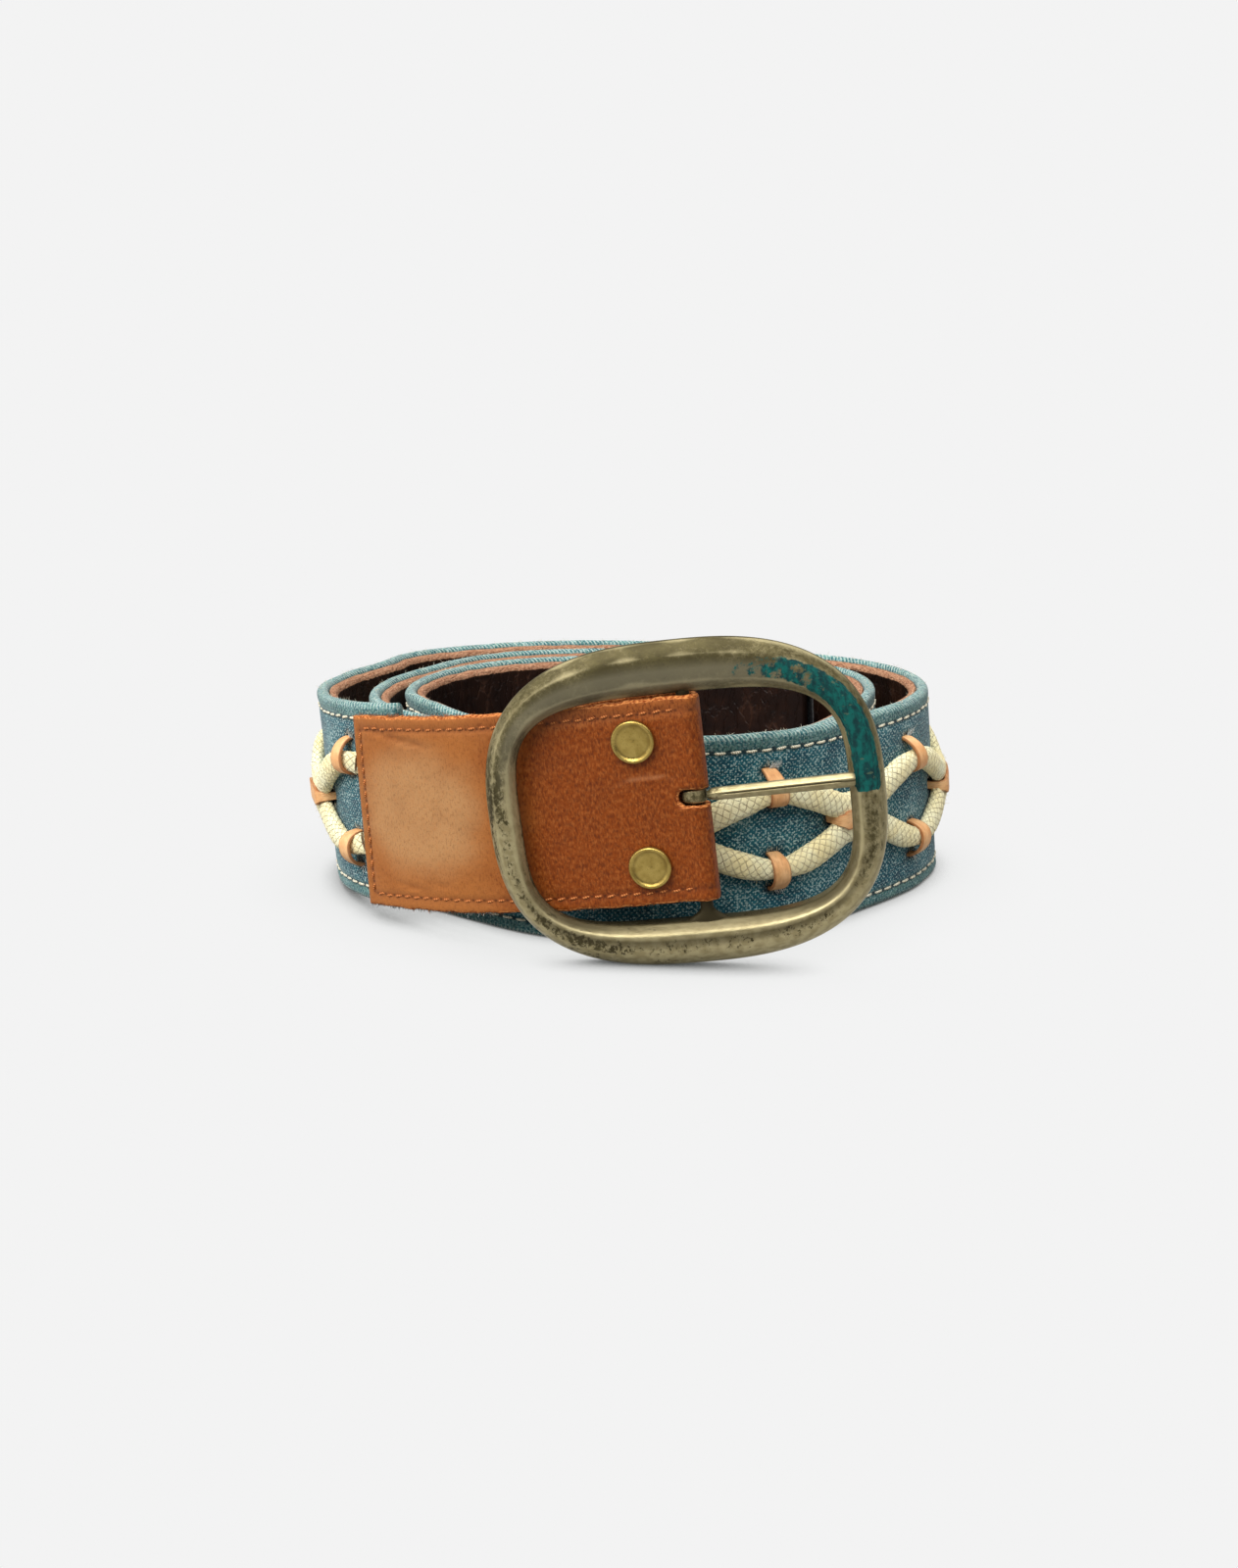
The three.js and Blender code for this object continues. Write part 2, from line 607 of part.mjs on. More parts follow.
// Under the buckle end the lining moves up to the leather, because no denim lies between
function liningFrom(s) {
  const [a, b] = LINING_MOVES_AT;
  const moved = THREE.MathUtils.clamp((s - a) / (b - a), 0, 1);
  return THREE.MathUtils.lerp(LINING_FRONT, LINING_FROM, moved);
}

function leatherLining() {
  const section = (s) => {
    const outer = -liningFrom(s);
    const top = s < LINING_MOVES_AT[1] ? PANEL_HEIGHT - CLEARANCE : LINING_TOP;
    return [
      [LINING_BOTTOM, outer], [top, outer],
      [top, outer - LINING + LINING_BEVEL], [top - LINING_BEVEL, outer - LINING],
      [LINING_BOTTOM, outer - LINING],
    ];
  };
  const lining = ribbon(LINING_START, STRAP_END, section, LINING_MOVES_AT);
  const holes = prongHoles(-LINING_FROM - LINING - PAST, -LINING_FROM + PAST);
  return subtractAll(lining, [...rivetHoles(), ...holes]);
}

// The leather buckle end: one piece folded round the bar

function panelLine() {
  const front = stationsBetween(FOLD_EASE, PANEL_END).reverse().map((s) => [s, PANEL_OUT]);
  const fold = Array.from({ length: FOLD_STEPS + 1 }, (_, i) => {
    const angle = Math.PI / 2 + i / FOLD_STEPS * Math.PI;
    return [FOLD_RADIUS * Math.cos(angle), BAR_OUT + FOLD_RADIUS * Math.sin(angle)];
  });
  const back = [[FOLD_EASE, PANEL_BACK_OUT], [PANEL_BACK_END, PANEL_BACK_OUT]];
  return [...front, ...fold, ...back].map(([s, out]) => [s, out, PANEL_HEIGHT / 2]);
}

function leatherPanel() {
  const middle = PANEL_HEIGHT / 2;
  const panel = bentStrip(panelLine(), PANEL, (s, out, across) => place(s, middle + across, out));
  const low = middle - FRAME_DROP + PRONG_LEVEL - SLOT_HEIGHT / 2;
  const slot = block(SLOT_FROM, SLOT_TO, low, low + SLOT_HEIGHT, CUT_FROM, CUT_TO);
  return subtractAll(panel, [slot, ...rivetHoles()]);
}

// Brass work

function rivetProfile() {
  const front = CLEARANCE * 2 + PANEL;
  const back = PANEL_BACK_OUT - PANEL / 2 - CLEARANCE;
  return [
    [0, back - RIVET_BACK],
    [RIVET_BACK_RADIUS, back - RIVET_BACK],
    [RIVET_BACK_RADIUS, back],
    [RIVET_POST_RADIUS, back],
    [RIVET_POST_RADIUS, front],
    [RIVET_CAP_RADIUS, front],
    [RIVET_CAP_RADIUS, front + RIVET_CAP - RIVET_RIM],
    [RIVET_CAP_RADIUS - RIVET_RIM, front + RIVET_CAP],
    [RIVET_CAP_RADIUS - 3 * RIVET_RIM, front + RIVET_CAP],
    [RIVET_CAP_RADIUS - 4 * RIVET_RIM, front + RIVET_CAP - RIVET_RIM],
    [0, front + RIVET_CAP - RIVET_RIM],
  ].map(([radius, along]) => new THREE.Vector2(radius, along));
}

function rivet({ s, height }) {
  const geometry = new THREE.LatheGeometry(rivetProfile(), RIVET_SIDES);
  const origin = new THREE.Vector3(...place(s, height, 0));
  const outward = new THREE.Vector3(...place(s, height, 1)).sub(origin).normalize();
  geometry.applyQuaternion(new THREE.Quaternion().setFromUnitVectors(new THREE.Vector3(0, 1, 0), outward));
  geometry.translate(origin.x, origin.y, origin.z);
  return fromManifold(toManifold(geometry));
}

// The buckle's own axes: across runs along the prong, up along the bar, out to the viewer
const barCentre = new THREE.Vector3(...place(0, PANEL_HEIGHT / 2 - FRAME_DROP, BAR_OUT));
const yaw = THREE.MathUtils.degToRad(FRAME_YAW);
const lean = THREE.MathUtils.degToRad(FRAME_LEAN);
const across = new THREE.Vector3(
  Math.cos(yaw) * Math.cos(lean), -Math.sin(yaw) * Math.cos(lean), Math.sin(lean));
const outward = new THREE.Vector3(-Math.sin(yaw), -Math.cos(yaw), 0);
const upward = outward.clone().cross(across);
const buckleAxes = new THREE.Matrix4().makeBasis(across, upward, outward).setPosition(barCentre);

// Half-size of a rounded oblong in a direction from its centre
function oblong(angle, halfWidth, halfHeight, power) {
  const wide = Math.abs(Math.cos(angle) / halfWidth) ** power;
  const high = Math.abs(Math.sin(angle) / halfHeight) ** power;
  return (wide + high) ** (-1 / power);
}

// Level of the frame's back. The frame is shallow where leather passes behind it.
function frameBack(angle) {
  const deep = THREE.MathUtils.smoothstep(Math.cos(angle - DEEP_SIDE), 0.1, 0.8);
  return THREE.MathUtils.lerp(FRAME_BACK, FRAME_BACK_DEEP, deep);
}

// Section of the frame: part of the way from the window to the outer edge, and the level
const frameSection = (back) => [
  { part: 0, out: back },
  { part: 0, out: FRAME_EDGE },
  { part: 0.24, out: FRAME_FRONT },
  { part: 0.7, out: FRAME_FRONT },
  { part: 1, out: FRAME_EDGE },
  { part: 1, out: back },
];

function frameRing() {
  const rings = Array.from({ length: FRAME_STEPS }, (_, i) => {
    const angle = i / FRAME_STEPS * 2 * Math.PI;
    const outer = oblong(angle, FRAME_HALF_WIDTH, FRAME_HALF_HEIGHT, FRAME_POWER);
    const inner = oblong(angle, WINDOW_HALF_WIDTH, WINDOW_HALF_HEIGHT, WINDOW_POWER);
    return frameSection(frameBack(angle)).map(({ part, out }) => {
      const radius = inner + (outer - inner) * part;
      const x = FRAME_FROM_BAR + WINDOW_SHIFT.across * (1 - part) + radius * Math.cos(angle);
      return [x, WINDOW_SHIFT.up * (1 - part) + radius * Math.sin(angle), out];
    });
  });
  return loft(rings, { closed: true });
}

function frameBar() {
  const length = 2 * (WINDOW_HALF_HEIGHT + BAR_IN_FRAME);
  return new THREE.CylinderGeometry(BAR_RADIUS, BAR_RADIUS, length, BAR_SIDES);
}

// The spread lower end of the bar, between the leather and the frame
function barFoot() {
  const top = -(PANEL_HEIGHT / 2 - FRAME_DROP) - 2 * CLEARANCE;
  const base = WINDOW_SHIFT.up - WINDOW_HALF_HEIGHT - PAST;
  const foot = new THREE.CylinderGeometry(FOOT_TOP, FOOT_BASE, top - base, BAR_SIDES);
  foot.translate(0, (top + base) / 2, 0);
  foot.scale(1, 1, FOOT_FLAT);
  return foot;
}

function buckleFrame() {
  return addAll(frameRing(), [frameBar(), barFoot()]);
}

function prongShank() {
  const rings = Array.from({ length: PRONG_SECTIONS + 1 }, (_, i) => {
    const t = i / PRONG_SECTIONS;
    const along = THREE.MathUtils.lerp(PRONG_FROM, PRONG_LENGTH, t);
    const out = THREE.MathUtils.lerp(PRONG_ROOT_OUT, PRONG_TIP_OUT, t);
    const up = PRONG_LEVEL + PRONG_RISE * t;
    const share = i === PRONG_SECTIONS ? PRONG_TIP_SHARE : 1;
    const half = share * THREE.MathUtils.lerp(PRONG_WIDTH, PRONG_TIP_WIDTH, t) / 2;
    const [low, high] = [out - PRONG_THICK / 2, out + PRONG_THICK / 2 * share];
    const [shoulder, top] = [out + PRONG_SHOULDER, half * PRONG_TOP_SHARE];
    return [
      [along, up - half, low], [along, up + half, low], [along, up + half, shoulder],
      [along, up + top, high], [along, up - top, high], [along, up - half, shoulder],
    ];
  });
  return loft(rings);
}

function prongEye() {
  const ring = (up) => Array.from({ length: PRONG_EYE_SIDES }, (_, i) => {
    const angle = i / PRONG_EYE_SIDES * 2 * Math.PI;
    const radius = oblong(angle, PRONG_EYE_RADIUS, PRONG_EYE_RADIUS, PRONG_EYE_POWER);
    return [radius * Math.cos(angle), up, radius * Math.sin(angle)];
  });
  return loft([ring(PRONG_LEVEL - PRONG_WIDTH / 2), ring(PRONG_LEVEL + PRONG_WIDTH / 2)]);
}

function buckleProng() {
  const bore = BAR_RADIUS + CLEARANCE;
  const cutter = new THREE.CylinderGeometry(bore, bore, 4 * PRONG_WIDTH, PRONG_EYE_SIDES);
  return subtractAll(addAll(prongEye(), [prongShank()]), [cutter]);
}

// The belt

const COLOURS = {
  denim: { color: 0x4a7186, roughness: 0.95, metalness: 0 },
  lining: { color: 0x3a2416, roughness: 0.7, metalness: 0 },
  lace: { color: 0xc08a5a, roughness: 0.7, metalness: 0 },
  rope: { color: 0xddd2ae, roughness: 0.95, metalness: 0 },
  panel: { color: 0xb5713f, roughness: 0.55, metalness: 0 },
  brass: { color: 0xb9a04f, roughness: 0.3, metalness: 1 },
  patina: { color: 0x7d7650, roughness: 0.45, metalness: 1 },
};

function piece(name, geometry, colour, matrix) {
  geometry.computeVertexNormals();
  const mesh = new THREE.Mesh(geometry, new THREE.MeshStandardMaterial(COLOURS[colour]));
  mesh.name = name;
  if (matrix) mesh.applyMatrix4(matrix);
  return mesh;
}

const belt = new THREE.Group();
belt.add(
  piece('denim_strap', denimStrap(), 'denim'),
  piece('leather_lining', leatherLining(), 'lining'),
  piece('leather_lacing', laceStrip(), 'lace'),
  piece('rope_upper', rope(1), 'rope'),
  piece('rope_lower', rope(-1), 'rope'),
  piece('leather_panel', leatherPanel(), 'panel'),
  ...RIVETS.map((row) => piece(row.name, rivet(row), 'brass')),
  piece('buckle_frame', buckleFrame(), 'patina', buckleAxes),
  piece('buckle_prong', buckleProng(), 'patina', buckleAxes),
);

export default belt;
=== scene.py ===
"""Looks of the rolled denim and leather belt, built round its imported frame.

The strap is laid out in its own numbers: s along it from the buckle bar, h up from its lower
edge, out from the denim's outer face, all in millimetres. place() turns them into metres.
"""
import math

import bpy
import numpy as np
from mathutils import Euler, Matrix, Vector

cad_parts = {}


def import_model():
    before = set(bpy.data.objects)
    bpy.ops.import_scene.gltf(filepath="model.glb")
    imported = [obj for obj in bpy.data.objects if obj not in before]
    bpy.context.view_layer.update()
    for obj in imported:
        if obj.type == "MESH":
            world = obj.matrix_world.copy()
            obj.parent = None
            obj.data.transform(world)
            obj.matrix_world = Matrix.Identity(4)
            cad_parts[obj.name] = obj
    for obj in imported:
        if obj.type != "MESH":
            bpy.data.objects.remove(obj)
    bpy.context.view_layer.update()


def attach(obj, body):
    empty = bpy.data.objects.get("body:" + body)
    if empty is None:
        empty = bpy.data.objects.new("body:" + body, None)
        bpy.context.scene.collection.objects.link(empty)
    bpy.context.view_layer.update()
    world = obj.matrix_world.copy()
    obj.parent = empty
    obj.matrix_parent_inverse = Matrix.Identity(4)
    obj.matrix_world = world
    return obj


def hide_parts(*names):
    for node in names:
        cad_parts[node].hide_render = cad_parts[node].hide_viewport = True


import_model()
rng = np.random.default_rng(12)

# Sizes of the belt, the same as the solids have

STRAP = 50.0
DENIM_FACE, DENIM_HEM, HEM_WIDTH = 1.2, 2.8, 6.0
LINING, LINING_FROM, LINING_TOP = 2.0, 3.1, 48.9
LINING_FRONT, LINING_MOVES = 0.1, (56.0, 71.0)
LINING_START, DENIM_START = 6.0, 72.5
PANEL_HEIGHT, PANEL, PANEL_END, PANEL_BACK_END = 47.2, 1.7, 86.5, 25.0
FIRST_PAIR, PERIOD, WIDE_PERIOD, WIDE_FROM, NODES = 91.5, 47.1, 49.8, 6, 14
ROPE_TALL, ROPE_DEEP, ROPE_GAP = 5.6, 3.3, 0.3
ROPE_PINCHED, PINCH_REACH = 4.2, 7.0
ROPE_AT_NODE, ROPE_IN_LOOP, NODE_FLAT, EYE_POWER = 2.95, 1.1, 5.0, 1.2
LOOP_WIDTH, LOOP, LOOP_REACH = 3.6, 0.8, 4.3
BAND_WIDTH, BAND_REACH = 4.7, 8.4
BAR_RADIUS, CLEARANCE = 1.5, 0.3
FOLD_RADIUS = BAR_RADIUS + CLEARANCE + PANEL / 2
PANEL_OUT = CLEARANCE + PANEL / 2
PANEL_BACK = -LINING_FRONT - LINING - CLEARANCE - PANEL / 2
BAR_OUT = (PANEL_OUT + PANEL_BACK) / 2
FRAME_DROP, PRONG_UP = 1.6, 2.1
SLOT_TO, SLOT_HEIGHT = 3.05, 4.0
SLOT_MIDDLE = PANEL_HEIGHT / 2 - FRAME_DROP + PRONG_UP
RIVETS = {"rivet_upper": (11.4, 38.3), "rivet_lower": (10.7, 9.2)}
RIVET_RADIUS, RIVET_CAP = 4.95, 1.3
HOLE_RADIUS, HOLE_COUNT, HOLE_PITCH, LAST_HOLE = 2.3, 5, 25.0, 70.0

# The strap's route on the floor, from the buckle bar to the free end
ROUTE = np.array([
    (12.4, -76.2), (-5, -72.5), (-26.6, -65.2), (-48.2, -53.6), (-66.3, -37.2),
    (-75.5, -21), (-79.3, -3), (-75, 14), (-67.6, 27.5), (-62, 39.5),
    (-47.5, 50), (-25, 57.8), (0, 58.8), (28, 52), (54, 39.4),
    (69, 29), (78, 14.5), (79.6, -3), (72.5, -21), (58, -38.2),
    (42, -52.3), (22, -60.2), (0, -61.4), (-21.5, -56.9), (-41, -45),
    (-56.2, -31.8), (-64.6, -15.6), (-63.5, 2), (-54.5, 20), (-42.5, 35.3),
    (-26, 44.2), (0, 46.2), (25, 40.5), (49, 28.4), (60.5, 19),
    (65.6, 6), (64.5, -10), (54.5, -29.6), (38, -45), (17, -53),
    (-8, -52.6), (-30.5, -41.5), (-48, -24.8), (-56, -10), (-54, 6.5),
    (-43.3, 22.4), (-25, 33), (-1, 35.6), (29, 28), (51, 11),
])
MIDDLE = (2.25, -9.6)
# Along s: the height of the lower edge, the shift of the foot in x and y, the height of the
# lacing's middle and the distance of the loops from it
STANCE = np.array([
    (0, 16.6, 6.1, -0.5, 25.2, 11.8), (50, 8.4, 4.4, -1.2, 25.2, 11.8),
    (86, 3.4, 2.8, -1.6, 25.2, 11.8), (110, 0.8, 3.4, -1.4, 23.9, 11.5),
    (135, 0, 3.8, -0.4, 24.6, 11.2), (170, 0, 4, 0.5, 25, 11), (300, 0, 4.6, 0.5, 25.5, 11),
    (350, 0, 4.7, 0.7, 25, 11.3), (370, 0, 4.3, 0.9, 25.3, 11.2), (395, 0, 3.6, 1.2, 26.5, 10.8),
    (430, 0, 2.8, 0.8, 26.5, 10.2), (480, 0, 2.8, -1, 26.3, 10.4), (540, 0, 2.8, 0, 26, 10.5),
    (1100, 0, 2.8, 0.5, 26, 10.5),
])
# Along s: what the strap loses in height where it is cupped
SINK = np.array([(745, 0), (762, 1.7), (778, 2.7), (850, 2.2), (885, 0)])
# The straight lead before the bar, and how far to either side a heading is measured
LEAD, LOOK = 12, 1.2


def sample_route(per_row=32):
    rows = np.vstack([2 * ROUTE[0] - ROUTE[1], ROUTE, 2 * ROUTE[-1] - ROUTE[-2]])
    points = []
    for k in range(len(ROUTE) - 1):
        p0, p1, p2, p3 = rows[k:k + 4]
        d0, d1, d2 = (np.sum((b - a) ** 2) ** 0.25 for a, b in ((p0, p1), (p1, p2), (p2, p3)))
        t1 = ((p1 - p0) / d0 - (p2 - p0) / (d0 + d1) + (p2 - p1) / d1) * d1
        t2 = ((p2 - p1) / d1 - (p3 - p1) / (d1 + d2) + (p3 - p2) / d2) * d1
        for w in np.arange(per_row) / per_row:
            points.append(p1 + t1 * w + (3 * (p2 - p1) - 2 * t1 - t2) * w ** 2
                          + (2 * (p1 - p2) + t1 + t2) * w ** 3)
    points = np.array(points + [ROUTE[-1]])
    ahead = points[1] - points[0]
    return np.vstack([points[0] - ahead / np.linalg.norm(ahead) * LEAD, points])


samples = sample_route()
along_samples = np.concatenate([[0], np.cumsum(np.hypot(*np.diff(samples, axis=0).T))]) - LEAD
STRAP_END = along_samples[-1]


def on_route(s):
    return np.interp(s, along_samples, samples[:, 0]), np.interp(s, along_samples, samples[:, 1])


def stance(s, column):
    return np.interp(s, STANCE[:, 0], STANCE[:, column])


def place(s, h, out):
    """Metres in the belt's frame for places on the strap, as arrays of any equal shape."""
    s, h, out = np.broadcast_arrays(*(np.asarray(v, float) for v in (s, h, out)))
    x, y = on_route(s)
    ax, ay = on_route(np.minimum(s + LOOK, STRAP_END))
    bx, by = on_route(s - LOOK)
    length = np.hypot(ax - bx, ay - by)
    down = 1 - h / STRAP
    squash = 1 - np.interp(s, SINK[:, 0], SINK[:, 1]) / STRAP
    return np.stack([
        x + stance(s, 2) * down + (by - ay) / length * out - MIDDLE[0],
        y + stance(s, 3) * down + (ax - bx) / length * out - MIDDLE[1],
        stance(s, 1) + h * squash,
    ], axis=-1) * 0.001


def period_place(count):
    narrow, wide = np.minimum(count, WIDE_FROM), np.maximum(count - WIDE_FROM, 0)
    return FIRST_PAIR + narrow * PERIOD + wide * WIDE_PERIOD


def period_at(s):
    wide = period_place(WIDE_FROM)
    return np.where(s < wide, (s - FIRST_PAIR) / PERIOD, WIDE_FROM + (s - wide) / WIDE_PERIOD)


def lace_middle(s):
    return stance(s, 4)


def loop_distance(s):
    return stance(s, 5)


def rope_offset(s):
    """Distance of a rope's centre from the lacing's middle."""
    from_node = np.abs(np.mod(period_at(s), 1) - 0.5)
    flat = NODE_FLAT / PERIOD
    t = np.clip((from_node - flat) / (0.5 - flat), 0, None)
    at_pair = loop_distance(s) - ROPE_IN_LOOP
    return ROPE_AT_NODE + (at_pair - ROPE_AT_NODE) * np.sin(t * np.pi / 2) ** EYE_POWER


PAIRS = period_place(np.arange(NODES))
NODE_PLACES = period_place(np.arange(NODES) + 0.5)

# Stitch lines and weave

STITCH_LOW, STITCH_HIGH = 3.6, 46.0
STITCH_PITCH, STITCH_SHARE, STITCH_START = 3.9, 0.82, PANEL_END + 0.6
LINING_STITCH_TOP = LINING_TOP - 4.2
PANEL_STITCH, PANEL_PITCH, PANEL_SHARE = 3.0, 2.9, 0.7
TWILL_PITCH, TWILL_ROW, RIM_PITCH = 0.98, 0.84, 1.15
TWILL_COS, TWILL_SIN = math.cos(math.radians(42)), math.sin(math.radians(42))
# Where the leather grows paler to the left, partly its own tone and partly a painted sheen, then the middle
# and reach of the painted highlight
PALE_FROM, PALE_TO = 44.0, 66.0
SHEEN_MIDDLE, SHEEN_REACH = (66.0, 24.0), (21.0, 19.0)


# Smooth repeatable noise and curves on numpy arrays

def value_noise(x, y, seed):
    table = np.random.default_rng(seed).random((64, 64))
    xi, yi = np.floor(x).astype(int), np.floor(y).astype(int)
    fx, fy = x - xi, y - yi
    fx, fy = fx * fx * (3 - 2 * fx), fy * fy * (3 - 2 * fy)
    a, b = table[xi % 64, yi % 64], table[(xi + 1) % 64, yi % 64]
    c, d = table[xi % 64, (yi + 1) % 64], table[(xi + 1) % 64, (yi + 1) % 64]
    return (a * (1 - fx) + b * fx) * (1 - fy) + (c * (1 - fx) + d * fx) * fy - 0.5


def bell(x, width):
    return np.exp(-(x / width) ** 2)


def eased(value, low, high):
    t = np.clip((value - low) / (high - low), 0, 1)
    return t * t * (3 - 2 * t)


def rounded(distance, radius):
    """How far a face falls back at this distance from its edge."""
    d = np.clip(distance, 0, radius)
    return radius - np.sqrt(np.maximum(radius ** 2 - (radius - d) ** 2, 0))


def unit(v):
    return v / np.linalg.norm(v, axis=-1, keepdims=True)


def run_length(line):
    """Distance along a line of points, from its first one."""
    return np.concatenate([[0], np.cumsum(np.linalg.norm(np.diff(line, axis=0), axis=1))])


def turn(sides):
    return np.arange(sides) / sides * 2 * np.pi


def triples(*parts):
    """Three arrays whose shapes fit together, as rows of three numbers."""
    return np.stack(np.broadcast_arrays(*parts), -1).reshape(-1, 3)


# Meshes

def facing_out(verts, faces):
    """The faces, turned over where the closed shape's volume comes out negative."""
    volume = 0.0
    for f in faces:
        p = verts[f]
        for k in range(1, f.shape[1] - 1):
            volume += np.einsum("ij,ij->i", p[:, 0], np.cross(p[:, k], p[:, k + 1])).sum()
    return [f[:, ::-1] if volume < 0 else f for f in faces]


def add_piece(name, made, layers, shade, node=None, body="strap"):
    """A piece from its vertices and faces, with its layers of values at the vertices."""
    verts, faces = made
    faces = facing_out(verts, faces)
    mesh = bpy.data.meshes.new(name)
    mesh.vertices.add(len(verts))
    mesh.vertices.foreach_set("co", verts.ravel())
    loops = np.concatenate([f.ravel() for f in faces])
    sizes = np.concatenate([np.full(len(f), f.shape[1]) for f in faces])
    mesh.loops.add(len(loops))
    mesh.loops.foreach_set("vertex_index", loops)
    mesh.polygons.add(len(sizes))
    mesh.polygons.foreach_set("loop_start", np.concatenate([[0], np.cumsum(sizes)[:-1]]))
    mesh.polygons.foreach_set("use_smooth", np.ones(len(sizes), bool))
    mesh.update(calc_edges=True)
    mesh.validate()
    for key, values in layers.items():
        if values.ndim == 2:
            attribute = mesh.attributes.new(key, "FLOAT_VECTOR", "POINT")
            attribute.data.foreach_set("vector", values.ravel())
        else:
            attribute = mesh.attributes.new(key, "FLOAT", "POINT")
            attribute.data.foreach_set("value", values)
    obj = bpy.data.objects.new(name, mesh)
    bpy.context.collection.objects.link(obj)
    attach(obj, body)
    mesh.materials.append(SHADES[shade])
    if node:
        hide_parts(node)


def thick_sheet(outer, inner, layers, keep):
    """A closed sheet between two grids of points; cells that are not kept become openings.
    layers holds pairs of grids, one for the outer and one for the inner side."""
    ns, nh = outer.shape[:2]
    index = np.arange(ns * nh).reshape(ns, nh)
    a, b, c, d = index[:-1, :-1], index[1:, :-1], index[1:, 1:], index[:-1, 1:]
    far = ns * nh
    faces = [np.stack([a, b, c, d], -1)[keep], np.stack([d, c, b, a], -1)[keep] + far]
    padded = np.pad(keep, 1)
    for p, q, di, dj in ((a, b, 0, -1), (b, c, 1, 0), (c, d, 0, 1), (d, a, -1, 0)):
        edge = keep & ~padded[1 + di:ns + di, 1 + dj:nh + dj]
        faces.append(np.stack([q, p, p + far, q + far], -1)[edge])
    verts = np.concatenate([outer.reshape(-1, 3), inner.reshape(-1, 3)])
    used = np.unique(np.concatenate([f.ravel() for f in faces]))
    renumber = np.zeros(len(verts), int)
    renumber[used] = np.arange(len(used))
    flat = {}
    for key, sides in layers.items():
        both = np.concatenate([side.reshape(far, -1) for side in sides])[used]
        flat[key] = both if both.shape[1] == 3 else both[:, 0]
    return (verts[used], [renumber[f] for f in faces]), flat


def tube(rings):
    """Vertices and faces of one closed tube from rings of points, shape (rings, sides, 3)."""
    n, sides = rings.shape[:2]
    index = np.arange(n * sides).reshape(n, sides)
    nxt = np.roll(index, -1, axis=1)
    quads = np.stack([index[:-1], index[1:], nxt[1:], nxt[:-1]], -1).reshape(-1, 4)
    return rings.reshape(-1, 3), [quads, index[0][::-1][None], index[-1][None]]


def hoop(points):
    """Vertices and faces of a grid of points that closes on itself both ways."""
    n, m = points.shape[:2]
    index = np.arange(n * m).reshape(n, m)
    right, below = np.roll(index, -1, axis=1), np.roll(index, -1, axis=0)
    quads = np.stack([index, below, np.roll(below, -1, axis=1), right], -1)
    return points.reshape(-1, 3), [quads.reshape(-1, 4)]


def many(parts):
    """Joins parts given as (verts, faces) into one set."""
    verts, by_size, offset = [], {}, 0
    for v, faces in parts:
        verts.append(v)
        for f in facing_out(v, faces):
            by_size.setdefault(f.shape[1], []).append(f + offset)
        offset += len(v)
    return np.concatenate(verts), [np.concatenate(fs) for fs in by_size.values()]


# Shaders

# How much darker all but the palest materials are, to suit the strong light
DIM = 0.77


def srgb(*rgb):
    values = [c / 255 for c in rgb]
    return tuple(c / 12.92 if c <= 0.04045 else ((c + 0.055) / 1.055) ** 2.4 for c in values) + (1.0,)


class Field:
    """A value in a node tree. What is worked out from it is a value of the same tree."""

    def __init__(self, nodes, socket):
        self.nodes, self.socket = nodes, socket

    def __add__(self, other):
        return self.nodes.math("ADD", self, other)

    def __sub__(self, other):
        return self.nodes.math("SUBTRACT", self, other)

    def __rsub__(self, other):
        return self.nodes.math("SUBTRACT", other, self)

    def __mul__(self, other):
        return self.nodes.math("MULTIPLY", self, other)

    def __abs__(self):
        return self.nodes.math("ABSOLUTE", self)

    def wave(self, period):
        return self.nodes.math("SINE", self * (2 * math.pi / period))

    def ease(self, low, high, out_low=0.0, out_high=1.0):
        """Goes smoothly from out_low to out_high while this value goes from low to high."""
        values = (self, low, high, out_low, out_high)
        return self.nodes.make("ShaderNodeMapRange", values, interpolation_type="SMOOTHSTEP")


class Nodes:
    """A node tree under construction."""

    def __init__(self, tree):
        self.tree = tree

    def feed(self, socket, value):
        if isinstance(value, Field):
            self.tree.links.new(value.socket, socket)
        else:
            socket.default_value = value

    def make(self, kind, values=(), output=0, **settings):
        """Adds a node, feeds its inputs by place or by name, and gives one of its outputs."""
        made = self.tree.nodes.new(kind)
        for key, value in settings.items():
            setattr(made, key, value)
        for key, value in values.items() if isinstance(values, dict) else enumerate(values):
            self.feed(made.inputs[key], value)
        return Field(self, made.outputs[output])

    def math(self, kind, a, b=0.0, clamp=False):
        return self.make("ShaderNodeMath", (a, b), operation=kind, use_clamp=clamp)

    def split(self, vector):
        first = self.make("ShaderNodeSeparateXYZ", (vector,))
        return [Field(self, socket) for socket in first.socket.node.outputs]


